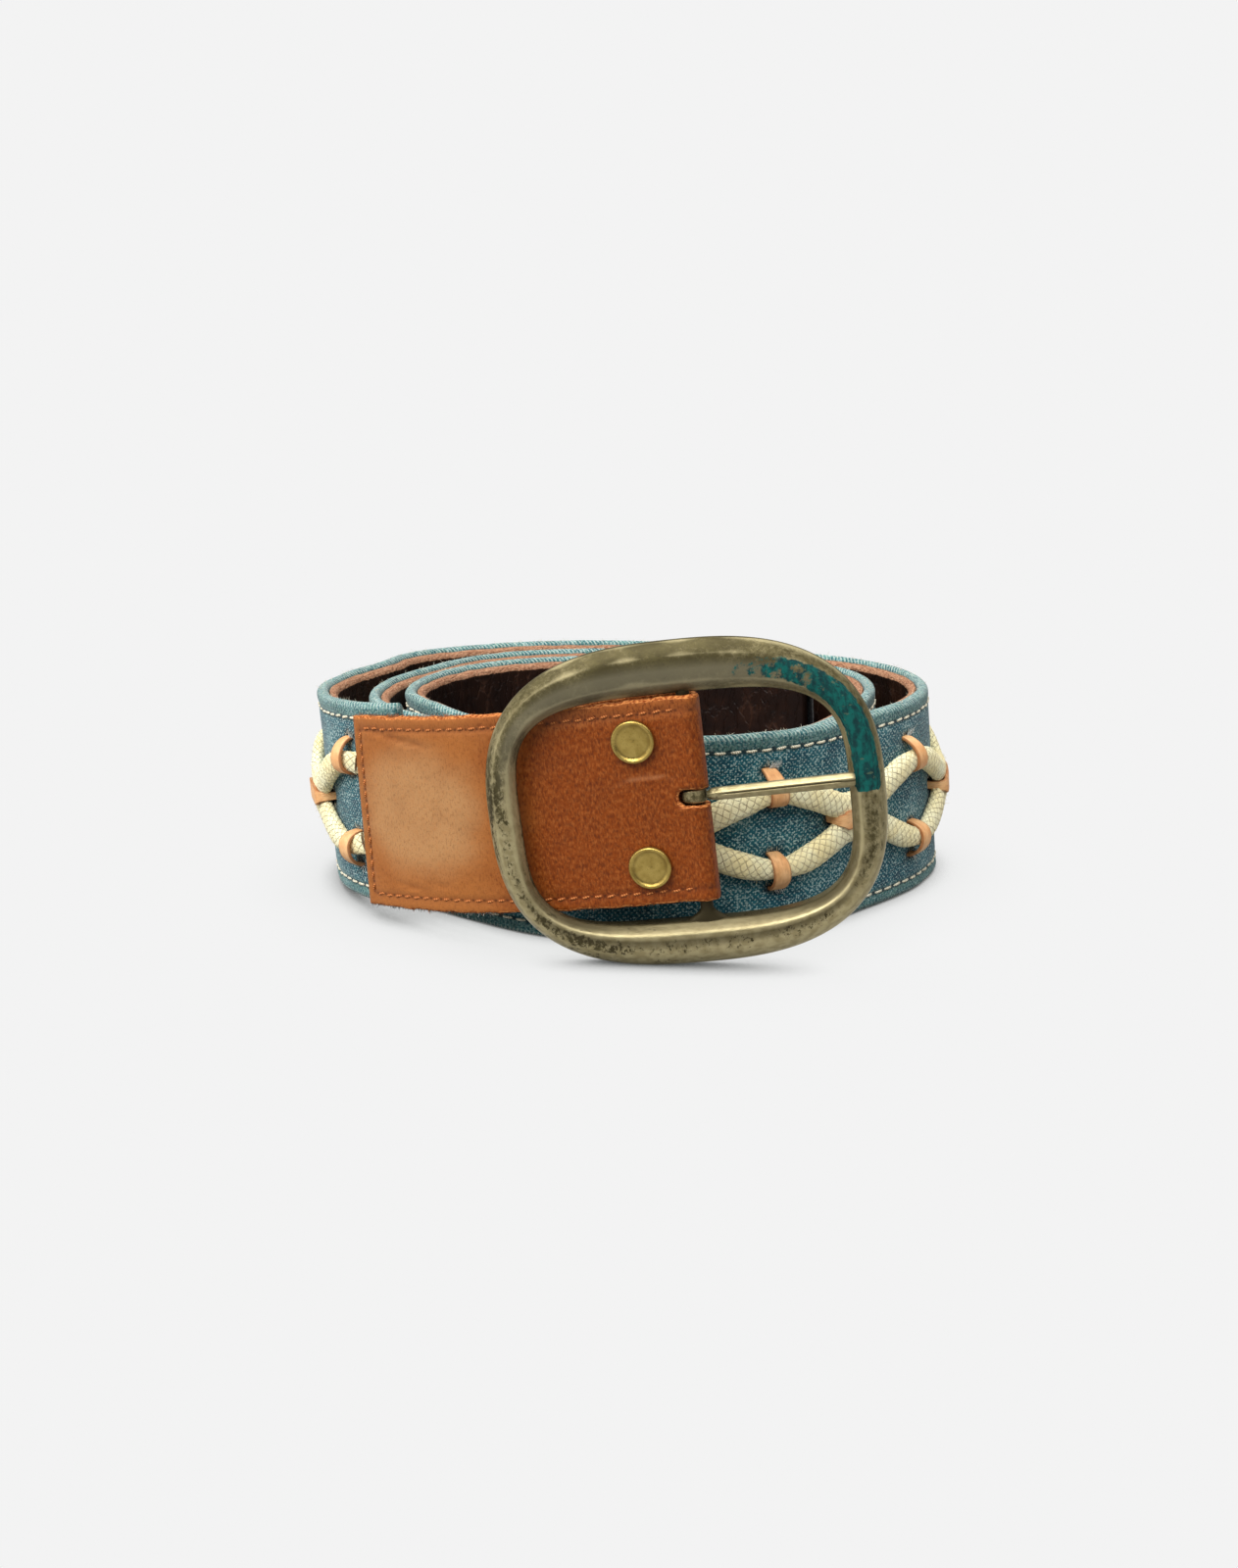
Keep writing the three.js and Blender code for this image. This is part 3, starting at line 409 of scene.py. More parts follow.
class Shade(Nodes):
    """A material under construction. Colours are given as 0 to 255; dim scales them all."""

    def __init__(self, name, roughness=0.6, metallic=0.0, dim=1.0, **sockets):
        self.material = bpy.data.materials.new(name)
        self.material.use_nodes = True
        super().__init__(self.material.node_tree)
        self.dim = dim
        self.bsdf = self.tree.nodes["Principled BSDF"].inputs
        self.lay = self.attribute("lay", "Vector")
        for key, value in {"Roughness": roughness, "Metallic": metallic, **sockets}.items():
            self.bsdf[key.replace("_", " ")].default_value = value

    def attribute(self, name, output="Fac"):
        return self.make("ShaderNodeAttribute", (), output, attribute_name=name)

    def scaled(self, scale):
        return self.make("ShaderNodeVectorMath", (self.lay, scale), operation="MULTIPLY")

    def noise(self, scale, detail=2.0, roughness=0.5, distortion=0.0):
        """Noise over the piece's own layout, with one scale or one for each direction."""
        even = not isinstance(scale, tuple)
        return self.make("ShaderNodeTexNoise", {
            "Vector": self.lay if even else self.scaled(scale), "Scale": scale if even else 1.0,
            "Detail": detail, "Roughness": roughness, "Distortion": distortion}, "Fac")

    def colour(self, *rgb):
        return tuple(c * self.dim for c in srgb(*rgb)[:3]) + (1.0,)

    def mix(self, share, first, second):
        first, second = (self.colour(*c) if isinstance(c, tuple) else c for c in (first, second))
        return self.make("ShaderNodeMix", {0: share, 6: first, 7: second}, 2, data_type="RGBA")

    def paint(self, share, colour):
        """Lays a colour over the base colour by the given share."""
        self.base = self.mix(share, self.base, colour)

    def set(self, key, value):
        self.feed(self.bsdf[key], value)

    def done(self, height, distance):
        """The material, with its base colour and a fine relief this many millimetres deep."""
        bump = self.make("ShaderNodeBump", {"Distance": distance * 0.001, "Height": height})
        self.set("Base Color", self.base)
        self.set("Normal", bump)
        return self.material


def denim_shade():
    m = Shade("denim_twill", 0.92, dim=DIM, Sheen_Weight=0.2, Sheen_Roughness=0.5,
              Specular_IOR_Level=0.15)
    s, h, out = m.split(m.lay)
    # flecks of the white weft, on a lattice of slanted rows
    wander = m.noise(0.7) * 0.9 - 0.45
    along = s * -TWILL_COS + h * TWILL_SIN + wander
    across = s * TWILL_SIN + h * TWILL_COS + wander * 0.8
    dots = along.wave(TWILL_PITCH).ease(0.0, 0.85) * across.wave(TWILL_ROW).ease(0.0, 0.8)
    zone = m.noise(0.11, 3)
    shown = dots * (m.noise(0.85) + zone * 0.5).ease(0.5, 0.86, 0.2, 1.0)
    loose = (m.noise((1.3, 1.5, 1)) + zone * 0.25).ease(0.66, 0.8)
    shown = m.math("MAXIMUM", shown, loose * 0.85)
    m.base = m.mix(m.noise((0.3, 1.6, 1), 3).ease(0.3, 0.7), (8, 68, 86), (28, 108, 122))
    m.paint(zone.ease(0.4, 0.7, 0.0, 0.5), (52, 134, 144))
    grain = m.noise(1.9)
    m.paint(grain.ease(0.5, 0.72, 0.0, 0.6), (12, 50, 66))
    m.paint(shown * 0.95, (204, 232, 228))
    # the folded edges are paler and greener, with slanted flecks towards the fold
    hem = abs(h - STRAP / 2).ease(STRAP / 2 - 5.4, STRAP / 2 - 3.2)
    green = m.mix(m.noise(1.5, 3).ease(0.4, 0.6), (44, 96, 98), (120, 164, 152))
    m.paint(hem * m.noise(0.5, 3).ease(0.3, 0.7, 0.35, 0.85), green)
    slanted = (s + out * 0.8 + wander * 0.6).wave(RIM_PITCH)
    frost = (slanted * 0.5 + m.noise(1.1) * 1.6).ease(0.9, 1.2)
    m.paint(frost * m.attribute("rim").ease(0.05, 0.8) * 0.7, (206, 220, 208))
    # painted shade in the needle holes between the stitches
    gap = (s + (STITCH_PITCH / 4 - STITCH_START)).wave(STITCH_PITCH).ease(0.45, 0.8)
    seam = m.math("MINIMUM", abs(h - STITCH_LOW), abs(h - STITCH_HIGH)).ease(0.85, 0.35)
    m.paint(seam * gap.ease(0, 1, 0.35, 0.8), (10, 30, 40))
    # painted shade, near black, round the slits where the loops and bands go in; the same layer also
    # darkens the last 2.5 mm before the free end
    m.paint(m.attribute("slit"), (9, 10, 12))
    return m.done(dots * 0.8 + grain, 0.16)


def lining_shade():
    m = Shade("lining_leather", 0.5, dim=DIM, Specular_IOR_Level=0.14)
    broad = m.noise(0.12, 4)
    bent = m.make("ShaderNodeVectorMath", (m.scaled((0.3, 0.09, 1)), m.noise(0.16, 3) * 1.6))
    crease = m.make("ShaderNodeTexVoronoi", {"Vector": bent, "Scale": 1.0}, "Distance",
                    feature="DISTANCE_TO_EDGE")
    folds = (crease + m.noise(0.8, 3) * 0.1).ease(0.04, 0.16)
    m.base = m.mix(broad.ease(0.3, 0.7), (26, 13, 8), (44, 24, 15))
    m.paint(folds.ease(0.0, 1.0, 0.3, 0.0) * broad.ease(0.42, 0.62), (98, 66, 50))
    raw = m.mix(m.noise((1.1, 3, 3), 3).ease(0.3, 0.7), (150, 100, 72), (206, 158, 124))
    raw = m.mix(m.noise(3.1).ease(0.6, 0.7, 0.0, 0.6), raw, (104, 64, 44))
    edge = (m.attribute("edge") + m.noise(0.9, 3) * 0.5).ease(0.62, 0.8)
    m.paint(edge, raw)
    m.set("Roughness", edge.ease(0, 1, 0.45, 0.9))
    return m.done(m.noise(2.4, 3) * 0.5 + folds * 0.8, 0.25)


def panel_shade():
    m = Shade("panel_leather", 0.5, dim=DIM, Specular_IOR_Level=0.18)
    s, h, _ = m.split(m.lay)
    broad = m.noise((0.05, 0.07, 1), 4, 0.55, 0.3)
    fine = m.noise(0.9, 4)
    grain = m.noise((2.3, 0.9, 1), 3, 0.6, 0.4)
    # the left part is paler, partly the leather's own tone and partly a painted sheen
    to_left = (s + broad * 26).ease(PALE_FROM, PALE_TO)
    m.base = m.mix(to_left, (141, 64, 10), (181, 110, 52))
    # a painted sheen: a broad highlight painted paler in the middle of the left half
    ds = (s - SHEEN_MIDDLE[0]) * (1 / SHEEN_REACH[0])
    dh = (h - SHEEN_MIDDLE[1]) * (1 / SHEEN_REACH[1])
    away = m.math("SQRT", ds * ds + dh * dh)
    m.paint((away + broad * 0.5).ease(1.3, 0.75) * 0.85, (204, 154, 102))
    stained = m.noise(0.16, 4).ease(0.42, 0.7) * to_left.ease(0, 1, 0.45, 0.14)
    m.paint(stained, (122, 56, 16))
    top = (h + fine * 3).ease(PANEL_HEIGHT - 4.5, PANEL_HEIGHT - 1.5, 0.0, 0.4)
    m.paint(top, (186, 112, 58))
    m.paint(fine.ease(0.4, 0.75, 0.0, 0.2), (206, 132, 70))
    rough_side = to_left.ease(0, 1, 0.7, 0.26)
    m.paint(grain.ease(0.5, 0.66) * rough_side, (92, 38, 10))
    m.paint(grain.ease(0.48, 0.34) * rough_side * 0.6, (196, 112, 52))
    m.paint(m.noise(2.2, 1).ease(0.66, 0.72) * 0.4, (110, 58, 30))
    m.paint(m.attribute("scratch") * 0.5, (228, 160, 110))
    # painted shade in the pressed stitch lines and the creases, darkest at the needle hole between two
    # stitches
    groove = m.attribute("groove")
    m.paint(groove * 0.45, (112, 54, 28))
    gap = m.math("COSINE", m.attribute("seam") * (2 * math.pi)).ease(0.62, 0.92)
    m.paint(groove.ease(0.5, 0.85) * gap * 0.6, (66, 28, 10))
    fuzz = m.noise((1.4, 3, 3), 3)
    edge = (m.attribute("edge") + fuzz * 0.7).ease(0.8, 0.98)
    m.paint(edge, m.mix(fuzz.ease(0.35, 0.65), (150, 68, 24), (236, 152, 84)))
    m.set("Roughness", (edge + fine * 0.3).ease(0, 1, 0.42, 0.9))
    return m.done(grain * -0.5 + fine * 0.5 + m.noise(4) * 0.25, 0.12)


def lace_shade():
    m = Shade("lace_leather", 0.55, Specular_IOR_Level=0.3)
    grain = m.noise((0.8, 2.6, 1), 3)
    m.base = m.mix(m.noise(0.25, 3).ease(0.3, 0.7), (222, 160, 102), (244, 194, 138))
    m.paint(grain.ease(0.4, 0.75, 0.0, 0.4), (178, 112, 62))
    m.paint(m.attribute("edge") * 0.7, (138, 78, 40))
    return m.done(grain, 0.14)


def rope_shade():
    m = Shade("rope_cotton", 0.95, Sheen_Weight=0.25, Specular_IOR_Level=0.1)
    run, climb, _ = m.split(m.attribute("braid", "Vector"))
    waver = m.noise(0.9, 3) * 0.16 - 0.08
    one, two = abs((run + climb + waver).wave(1.0)), abs((run - climb + waver).wave(1.0))
    furrow = m.math("MINIMUM", one, two).ease(0.04, 0.26)
    fibre = m.noise(3.2, 3)
    m.base = m.mix(m.noise(0.14, 3).ease(0.3, 0.7), (255, 238, 178), (255, 249, 206))
    # painted shade in the braid's furrows, patchy along the rope
    deep = furrow.ease(0, 1, 0.62, 0.0) * m.noise(0.6, 3).ease(0.38, 0.62, 0.2, 1.0)
    m.paint(deep, (164, 130, 76))
    m.paint(m.noise(1.3).ease(0.68, 0.75) * 0.3, (132, 106, 66))
    m.paint(fibre.ease(0.5, 0.85, 0.0, 0.35), (250, 242, 214))
    return m.done(fibre * 0.8 + furrow, 0.25)


def thread_shade(name, dark, light):
    m = Shade(name, 0.8, Specular_IOR_Level=0.2)
    s, h, _ = m.split(m.lay)
    twist = (s + h * 1.4).wave(0.55)
    m.base = m.mix(twist.ease(-0.9, 0.6), dark, light)
    return m.done(twist, 0.06)


def patina_shade(name, teal):
    m = Shade(name, 0.42, 1.0, dim=DIM, Specular_IOR_Level=0.25)
    wear_and_painted_light, age, calm = (m.attribute(key) for key in ("wear_and_painted_light", "age", "calm"))
    fine = m.noise(2.2, 6, 0.65)
    blots = m.noise(0.14, 4)
    # bare metal shows where the dark crust has flaked or rubbed off
    flakes = m.noise((0.8, 0.55, 0.7), 12, 0.8) + wear_and_painted_light * 0.2 + (0.5 - age) * 0.32 + blots * 0.22
    shown = flakes.ease(calm * -0.12 + 0.6, calm * 0.2 + 0.65) * (calm * -0.45 + 1.0)
    patchy = blots.ease(0.35, 0.65)
    m.base = m.mix(patchy, (70, 62, 36), (92, 84, 52))
    m.paint(calm, m.mix(patchy, (78, 70, 40), (96, 87, 53)))
    m.paint(fine.ease(0.45, 0.65, 0.0, 0.5), (74, 66, 44))
    m.paint(shown, m.mix(m.noise(0.5, 3).ease(0.35, 0.65), (168, 154, 112), (196, 182, 138)))
    # paler where worn on the ring's edges; on the prong's upper facet partly a painted highlight
    m.paint(wear_and_painted_light.ease(0.55, 1.0) * 0.6, (206, 192, 146))
    # painted reflection: greyer over the inner half of the ring's upper side
    m.paint(m.attribute("painted_reflection") * 0.5, (154, 146, 120))
    # painted shade on the ring's lower side and all over the bar; on the prong the groove is darker
    m.paint(m.attribute("crust_and_shade") * 0.9, (58, 50, 30))
    m.paint(m.noise(1.1, 9, 0.75).ease(0.6, 0.68) * 0.45, (58, 50, 32))
    rough = shown.ease(0, 1, 0.5, 0.32)
    metal = shown.ease(0, 1, 0.55, 0.72)
    if teal:
        patch = (m.attribute("teal") + m.noise(0.32, 8, 0.7) * 1.3).ease(1.0, 1.12)
        green = m.mix(m.noise((0.6, 0.35, 1), 8, 0.65).ease(0.38, 0.62), (0, 52, 54), (0, 100, 92))
        green = m.mix(m.noise(0.7, 7, 0.7).ease(0.54, 0.68, 0.0, 0.8), green, (0, 32, 38))
        green = m.mix(m.noise((0.5, 0.9, 1), 6).ease(0.62, 0.68, 0.0, 0.7), green, (92, 108, 84))
        m.paint(patch, green)
        rough = m.math("ADD", patch * 0.3, rough, clamp=True)
        metal = m.math("ADD", patch * -0.72, metal, clamp=True)
    m.set("Roughness", rough)
    m.set("Metallic", metal)
    return m.done(shown * -0.4 + fine * 0.5, 0.1)


def rivet_shade():
    m = Shade("rivet_brass", 0.3, 1.0, dim=DIM)
    smudge, fine = m.noise(0.5, 4), m.noise(2.6, 4)
    m.base = m.mix(smudge.ease(0.35, 0.7), (204, 176, 98), (178, 150, 78))
    m.paint(fine.ease(0.6, 0.72, 0.0, 0.5), (104, 84, 40))
    # painted shade in the groove round the cap's dome
    m.paint(m.attribute("wear_and_painted_light") * 0.45, (96, 74, 34))
    m.set("Roughness", smudge.ease(0.3, 0.7, 0.26, 0.42))
    return m.done(fine + smudge, 0.04)


SHADES = {
    "denim": denim_shade(),
    "lining": lining_shade(),
    "panel": panel_shade(),
    "lace": lace_shade(),
    "rope": rope_shade(),
    "cream": thread_shade("cream_thread", (196, 184, 148), (252, 246, 226)),
    "white": thread_shade("white_thread", (206, 218, 216), (250, 252, 246)),
    "tan": thread_shade("tan_thread", (150, 78, 34), (206, 130, 74)),
    "brown": thread_shade("brown_thread", (30, 18, 12), (66, 44, 32)),
    "frame": patina_shade("buckle_patina", True),
    "prong": patina_shade("prong_patina", False),
    "rivet": rivet_shade(),
}

# Denim and lining. Rows of heights lie closer together at their rounded edges.

EDGE_ROWS, INSET, ROW = np.array([0, 0.08, 0.3, 0.65, 1.1, 1.6]), 2.4, 1.2
HOLES = [(STRAP_END - LAST_HOLE - i * HOLE_PITCH, STRAP / 2) for i in range(HOLE_COUNT)]
LOOP_SHIFT = 0.4


def height_rows(top, step):
    inner = np.linspace(INSET, top - INSET, int(round((top - 2 * INSET) / step)) + 1)
    return np.concatenate([EDGE_ROWS, inner, top - EDGE_ROWS[::-1]])


def strap_grid(start, top, step):
    """Places along and up the strap, and its cells without those of the prong holes."""
    s_rows = np.arange(start, STRAP_END + ROW / 2, ROW)
    s_rows[-1] = STRAP_END
    s, h = np.meshgrid(s_rows, height_rows(top, step), indexing="ij")
    keep = np.ones((s.shape[0] - 1, s.shape[1] - 1), bool)
    for hole_s, hole_h in HOLES:
        i, j = np.argmin(np.abs(s_rows - hole_s)), np.argmin(np.abs(h[0] - hole_h))
        # the points round each block of cells move onto the hole's circle
        for di in range(-2, 3):
            for dj in range(-2, 3):
                if max(abs(di), abs(dj)) == 2:
                    angle = math.atan2(dj, di)
                    s[i + di, j + dj] = hole_s + HOLE_RADIUS * math.cos(angle)
                    h[i + di, j + dj] = hole_h + HOLE_RADIUS * math.sin(angle)
        keep[i - 2:i + 2, j - 2:j + 2] = False
    return s_rows, s, h, keep


def slit_list():
    """Each slit's place and height, and half its size in both directions."""
    slits = []
    for s in PAIRS:
        for side in (1, -1):
            middle = lace_middle(s) + side * loop_distance(s)
            slits.append((s + LOOP_SHIFT, middle + side * LOOP_REACH, 1.7, 0.8))
            slits.append((s, middle - side * LOOP_REACH, 1.9, 0.7))
    for s in NODE_PLACES:
        slits += [(s + end * BAND_REACH, lace_middle(s), 0.8, 1.6) for end in (1, -1)]
    return slits


SLITS = slit_list()


def denim():
    s_rows, s, h, keep = strap_grid(DENIM_START, STRAP, 1.0)
    from_edge = np.minimum(h, STRAP - h)
    # slit holds painted shade round each slit, and also sinks the cloth there
    slit, pull = np.zeros_like(s), np.zeros_like(s)
    for slit_s, slit_h, half_s, half_h in SLITS:
        near = slice(*np.searchsorted(s_rows, [slit_s - 9, slit_s + 9]))
        reach = np.hypot((s[near] - slit_s) / (half_s + 0.5), (h[near] - slit_h) / (half_h + 0.35))
        slit[near] = np.maximum(slit[near], np.clip(1.6 - reach, 0, 1))
        pull[near] += bell(reach, 2.4)
    phase = (s - STITCH_START) / STITCH_PITCH
    swell = 0.16 * value_noise(s / 13, h / 9, 3) + 0.1 * value_noise(s / 4.2, h / 5, 4)
    for line, beside in ((STITCH_LOW, STITCH_LOW - 2.1), (STITCH_HIGH, STITCH_HIGH + 2.1)):
        swell -= bell(h - line, 0.8) * (0.3 + 0.08 * np.cos(phase * 2 * np.pi))
        swell += bell(h - beside, 1.6) * (0.1 + 0.12 * value_noise(s / 3.1, 0 * s, 8))
    swell -= 0.12 * np.clip(pull, 0, 1) + 0.9 * np.clip(slit - 0.45, 0, 1)
    fall = rounded(from_edge, DENIM_HEM / 2)
    outer = np.minimum(swell, 0.22) * np.clip(from_edge, 0, 1) - fall
    inner = fall - np.where(from_edge < HEM_WIDTH, DENIM_HEM, DENIM_FACE)
    waver = 0.16 * value_noise(s / 6, 0 * s, 5) * (1 - np.clip(from_edge / 3, 0, 1))
    rim = np.clip(1.25 - from_edge / 1.3, 0, 1) + 0.3 * np.clip(1 - np.abs(from_edge - 2.6) / 2, 0, 1)
    # the layer of painted slit shade also goes near black over the last 2.5 mm before the free end
    slit = np.maximum(slit, np.clip((s - STRAP_END + 2.5) / 1.2, 0, 1))
    lays = np.stack([s, h, outer], -1), np.stack([s, h + 0.4, inner], -1)
    layers = {"lay": lays, "rim": (rim, rim), "slit": (slit, slit)}
    made, layers = thick_sheet(*(place(s, h + waver, out) for out in (outer, inner)), layers, keep)
    add_piece("denim_cloth", made, layers, "denim", "denim_strap")


def lining():
    _, s, h, keep = strap_grid(LINING_START, LINING_TOP, 1.15)
    low_to = LINING_MOVES[1]
    top = np.interp(s, (low_to + 5, low_to + 17), (PANEL_HEIGHT - 0.8, LINING_TOP))
    h = h * top / LINING_TOP
    from_edge = np.minimum(h, top - h)
    outer = -np.interp(s, LINING_MOVES, (LINING_FRONT, LINING_FROM))
    swell = 0.14 * value_noise(s / 5, h / 22, 21) + 0.08 * value_noise(s / 1.9, h / 14, 22)
    inner = outer - LINING + rounded(from_edge, 1.5) * 0.9 + swell * np.clip(from_edge / 3, 0, 1)
    inner += bell(h - LINING_STITCH_TOP, 0.7) * 0.22
    waver = 0.3 * value_noise(s / 4, 0 * s, 23) * (h > 40)
    edge = np.clip(1.5 - from_edge / 1.35, 0, 1)
    away = np.clip((STRAP_END - 1.5 - s) / 1.0, 0, 1)
    lays = np.stack([s, h, outer], -1), np.stack([s, h, inner], -1)
    layers = {"lay": lays, "edge": (away, edge * away)}
    made, layers = thick_sheet(*(place(s, h + waver, out) for out in (outer, inner)), layers, keep)
    add_piece("lining_hide", made, layers, "lining", "leather_lining")


# Ropes

BRAID_PITCH, BRAID_STRANDS, ROPE_SWELL = 4.0, 4, 1.15


def boxy(values):
    return np.sign(values) * np.abs(values) ** 0.9


def rope(side, name, node, seed):
    """Adds a rope and gives its places, heights, half heights, levels and half depths."""
    start, end = PANEL_END + CLEARANCE + 0.1, NODE_PLACES[-1] + 6.45
    s, phi = np.linspace(start, end, 1700), turn(36) - np.pi / 2
    height = lace_middle(s) + side * rope_offset(s) + 0.25 * value_noise(s / 9, 0 * s, seed)
    slope = np.gradient(height, s)[:, None]
    run = run_length(np.stack([s, height], -1))[:, None]
    from_pair = np.abs(s[:, None] - PAIRS).min(axis=1)
    full = eased(from_pair - LOOP_WIDTH / 2, 0, PINCH_REACH)
    start_fade = np.clip((s - start) / 6, 0, 1) ** 0.5
    end_fade = np.clip((end - s) / 2.2, 0.05, 1) ** 0.5
    level = ROPE_DEEP / 2 * (0.42 + 0.58 * start_fade)
    deep = level * (0.9 + 0.1 * full) * end_fade
    tall = (ROPE_PINCHED + (ROPE_TALL - ROPE_PINCHED) * full ** 0.7) / 2 * end_fade
    along, climb = run / BRAID_PITCH, BRAID_STRANDS * phi / (2 * np.pi)
    one, two = (np.sin(2 * np.pi * strand) for strand in (along + climb, along - climb))
    braid = np.abs(np.where(one * two > 0, one, two))
    relief = ROPE_SWELL + 0.1 * (braid - 0.8) + 0.03 * value_noise(run / 3, phi * 2, seed + 1)
    wide = tall[:, None] * boxy(np.cos(phi)) * relief / np.sqrt(1 + slope ** 2)
    points = place(s[:, None] - wide * slope, height[:, None] + wide,
                   ROPE_GAP + level[:, None] + deep[:, None] * boxy(np.sin(phi)) * relief)
    layers = {"lay": triples(run, phi * 2.4 + side * 40, 0 * phi),
              "braid": triples(along, climb, 0 * phi)}
    add_piece(name, tube(points), layers, "rope", node)
    return s, height, tall, level, deep


# Strips of lace leather. A section with rounded edges is carried along a bent line.

STRIP_SECTION = np.array([
    (-1, -0.55), (-0.96, -0.9), (-0.8, -1), (0, -1), (0.8, -1), (0.96, -0.9),
    (1, -0.55), (1, 0.55), (0.96, 0.9), (0.8, 1), (0, 1), (-0.8, 1), (-0.96, 0.9), (-1, 0.55),
])
# A loop from its outer slit over the rope to its inner slit: place, level, half width
LOOP_PATH = np.array([
    (4.3, -1.9, 1.6), (4.4, -0.7, 1.65), (4.3, 0.3, 1.75), (3.9, 1.3, 1.85), (3.2, 2.3, 1.95),
    (2.3, 3.2, 2.05), (1.1, 3.95, 2.15), (-0.3, 4.25, 2.15), (-1.6, 4.2, 2.15), (-2.7, 3.8, 2.1),
    (-3.6, 2.8, 2.0), (-4.1, 1.5, 1.85), (-4.35, 0.0, 1.7), (-4.3, -1.9, 1.6),
])
# How deep the bands' ends go into their slits, and the section of the strip behind the denim
SLIT_DEEP = 1.9
BACK_STRIP = np.array([(7.5, -1.5), (43, -1.5), (43, -2.6), (7.5, -2.6)])


def bent_strip(line, half_width):
    """A strip along a line of (along, out) rows: its points along, out and across, and layers."""
    ahead = unit(np.gradient(line, axis=0))
    offset = STRIP_SECTION[:, 1] * LOOP / 2
    along = line[:, :1] - ahead[:, 1:] * offset
    out = line[:, 1:] + ahead[:, :1] * offset
    across = half_width[:, None] * STRIP_SECTION[:, 0]
    edge = np.clip((np.abs(STRIP_SECTION[:, 0]) - 0.8) / 0.16, 0, 1) * np.ones_like(across)
    return along, out, across, triples(run_length(line)[:, None], across, offset), edge.ravel()


def lacing():
    parts, lays, edges = [], [], []

    def keep_part(points, lay, edge):
        parts.append(tube(points))
        lays.append(lay + rng.uniform(0, 80, 3))
        edges.append(edge)

    turns = np.linspace(0, 1, len(LOOP_PATH))
    path = np.array([np.interp(np.linspace(0, 1, 34), turns, row) for row in LOOP_PATH.T])
    for _ in range(2):
        path[:, 1:-1] = (path[:, :-2] + 2 * path[:, 1:-1] + path[:, 2:]) / 4
    lean = (LOOP_SHIFT * np.clip(path[0] / LOOP_REACH, 0, 1) ** 1.5)[:, None]
    for s in PAIRS:
        for side in (1, -1):
            middle = lace_middle(s) + side * loop_distance(s)
            shift, tilt = rng.uniform(-0.25, 0.25), rng.uniform(-0.07, 0.07)
            order = slice(None, None, side)
            line = np.stack([side * path[0], path[1]], -1)[order]
            a, o, c, lay, edge = bent_strip(line, path[2][order] * rng.uniform(0.94, 1.06))
            keep_part(place(s + c + shift + tilt * a + lean[order], middle + a, o), lay, edge)
    # bands over both ropes
    t = np.linspace(-1, 1, 33)
    away, crown = np.abs(t), ROPE_GAP * 2 + ROPE_DEEP + LOOP / 2
    rise = np.sin(np.clip((1 - away) / 0.26, 0, 1) * np.pi / 2) ** 0.8
    out = -SLIT_DEEP + (crown + SLIT_DEEP) * rise - 0.25 * bell(t, 0.5)
    along = np.sign(t) * np.minimum(away * 1.12, 1) * BAND_REACH
    half = np.interp(away, (0, 0.68, 0.84, 1), (BAND_WIDTH / 2, BAND_WIDTH / 2, 1.25, 1.0))
    a, o, c, lay, edge = bent_strip(np.stack([along, out], -1), half)
    for s in NODE_PLACES:
        tilt = rng.uniform(-0.04, 0.04)
        keep_part(place(s + a, lace_middle(s) + c + tilt * a, o), lay, edge)
    s = np.arange(FIRST_PAIR - LOOP_WIDTH, NODE_PLACES[-1] + BAND_REACH + 2, 3.0)[:, None]
    lay = triples(s, *BACK_STRIP.T)
    keep_part(place(s, *BACK_STRIP.T), lay, np.zeros(len(lay)))
    layers = {"lay": np.concatenate(lays), "edge": np.concatenate(edges)}
    add_piece("lace_loops", many(parts), layers, "lace", "leather_lacing")


# The leather buckle end, one sheet folded round the bar

FOLD_EASE, SLOT_ROUND, SLOT_EDGE = 4.5, 1.3, 1.3
# Short pressed creases near the left corners: place, height, length and depth
CREASES = ((72, 42.2, 5, 0.3), (66, 40.9, 4, 0.25), (78, 43.4, 3, 0.2), (70, 5.6, 5, 0.22),
           (62, 6.6, 3, 0.15))


def fold_share(s):
    return np.clip((FOLD_EASE - s) / FOLD_EASE, 0, 1) ** 1.5


def front_level(s):
    return PANEL_OUT + (BAR_OUT + FOLD_RADIUS - PANEL_OUT) * fold_share(s)


def panel_path():
    """Rows of (s, out): along the front to the bar, round it and back behind."""
    near = np.array([5.0, 4.0, SLOT_TO, 2.0, 1.0])
    front = np.concatenate([np.arange(PANEL_END, 5.6, -1.0), near])
    angle = np.linspace(np.pi / 2, 3 * np.pi / 2, 15)
    back = np.concatenate([near[::-1], np.arange(6.5, PANEL_BACK_END + 0.1, 1.5)])
    level = PANEL_BACK + (BAR_OUT - FOLD_RADIUS - PANEL_BACK) * fold_share(back)
    return np.stack([
        np.concatenate([front, FOLD_RADIUS * np.cos(angle), back]),
        np.concatenate([front_level(front), BAR_OUT + FOLD_RADIUS * np.sin(angle), level])], -1)


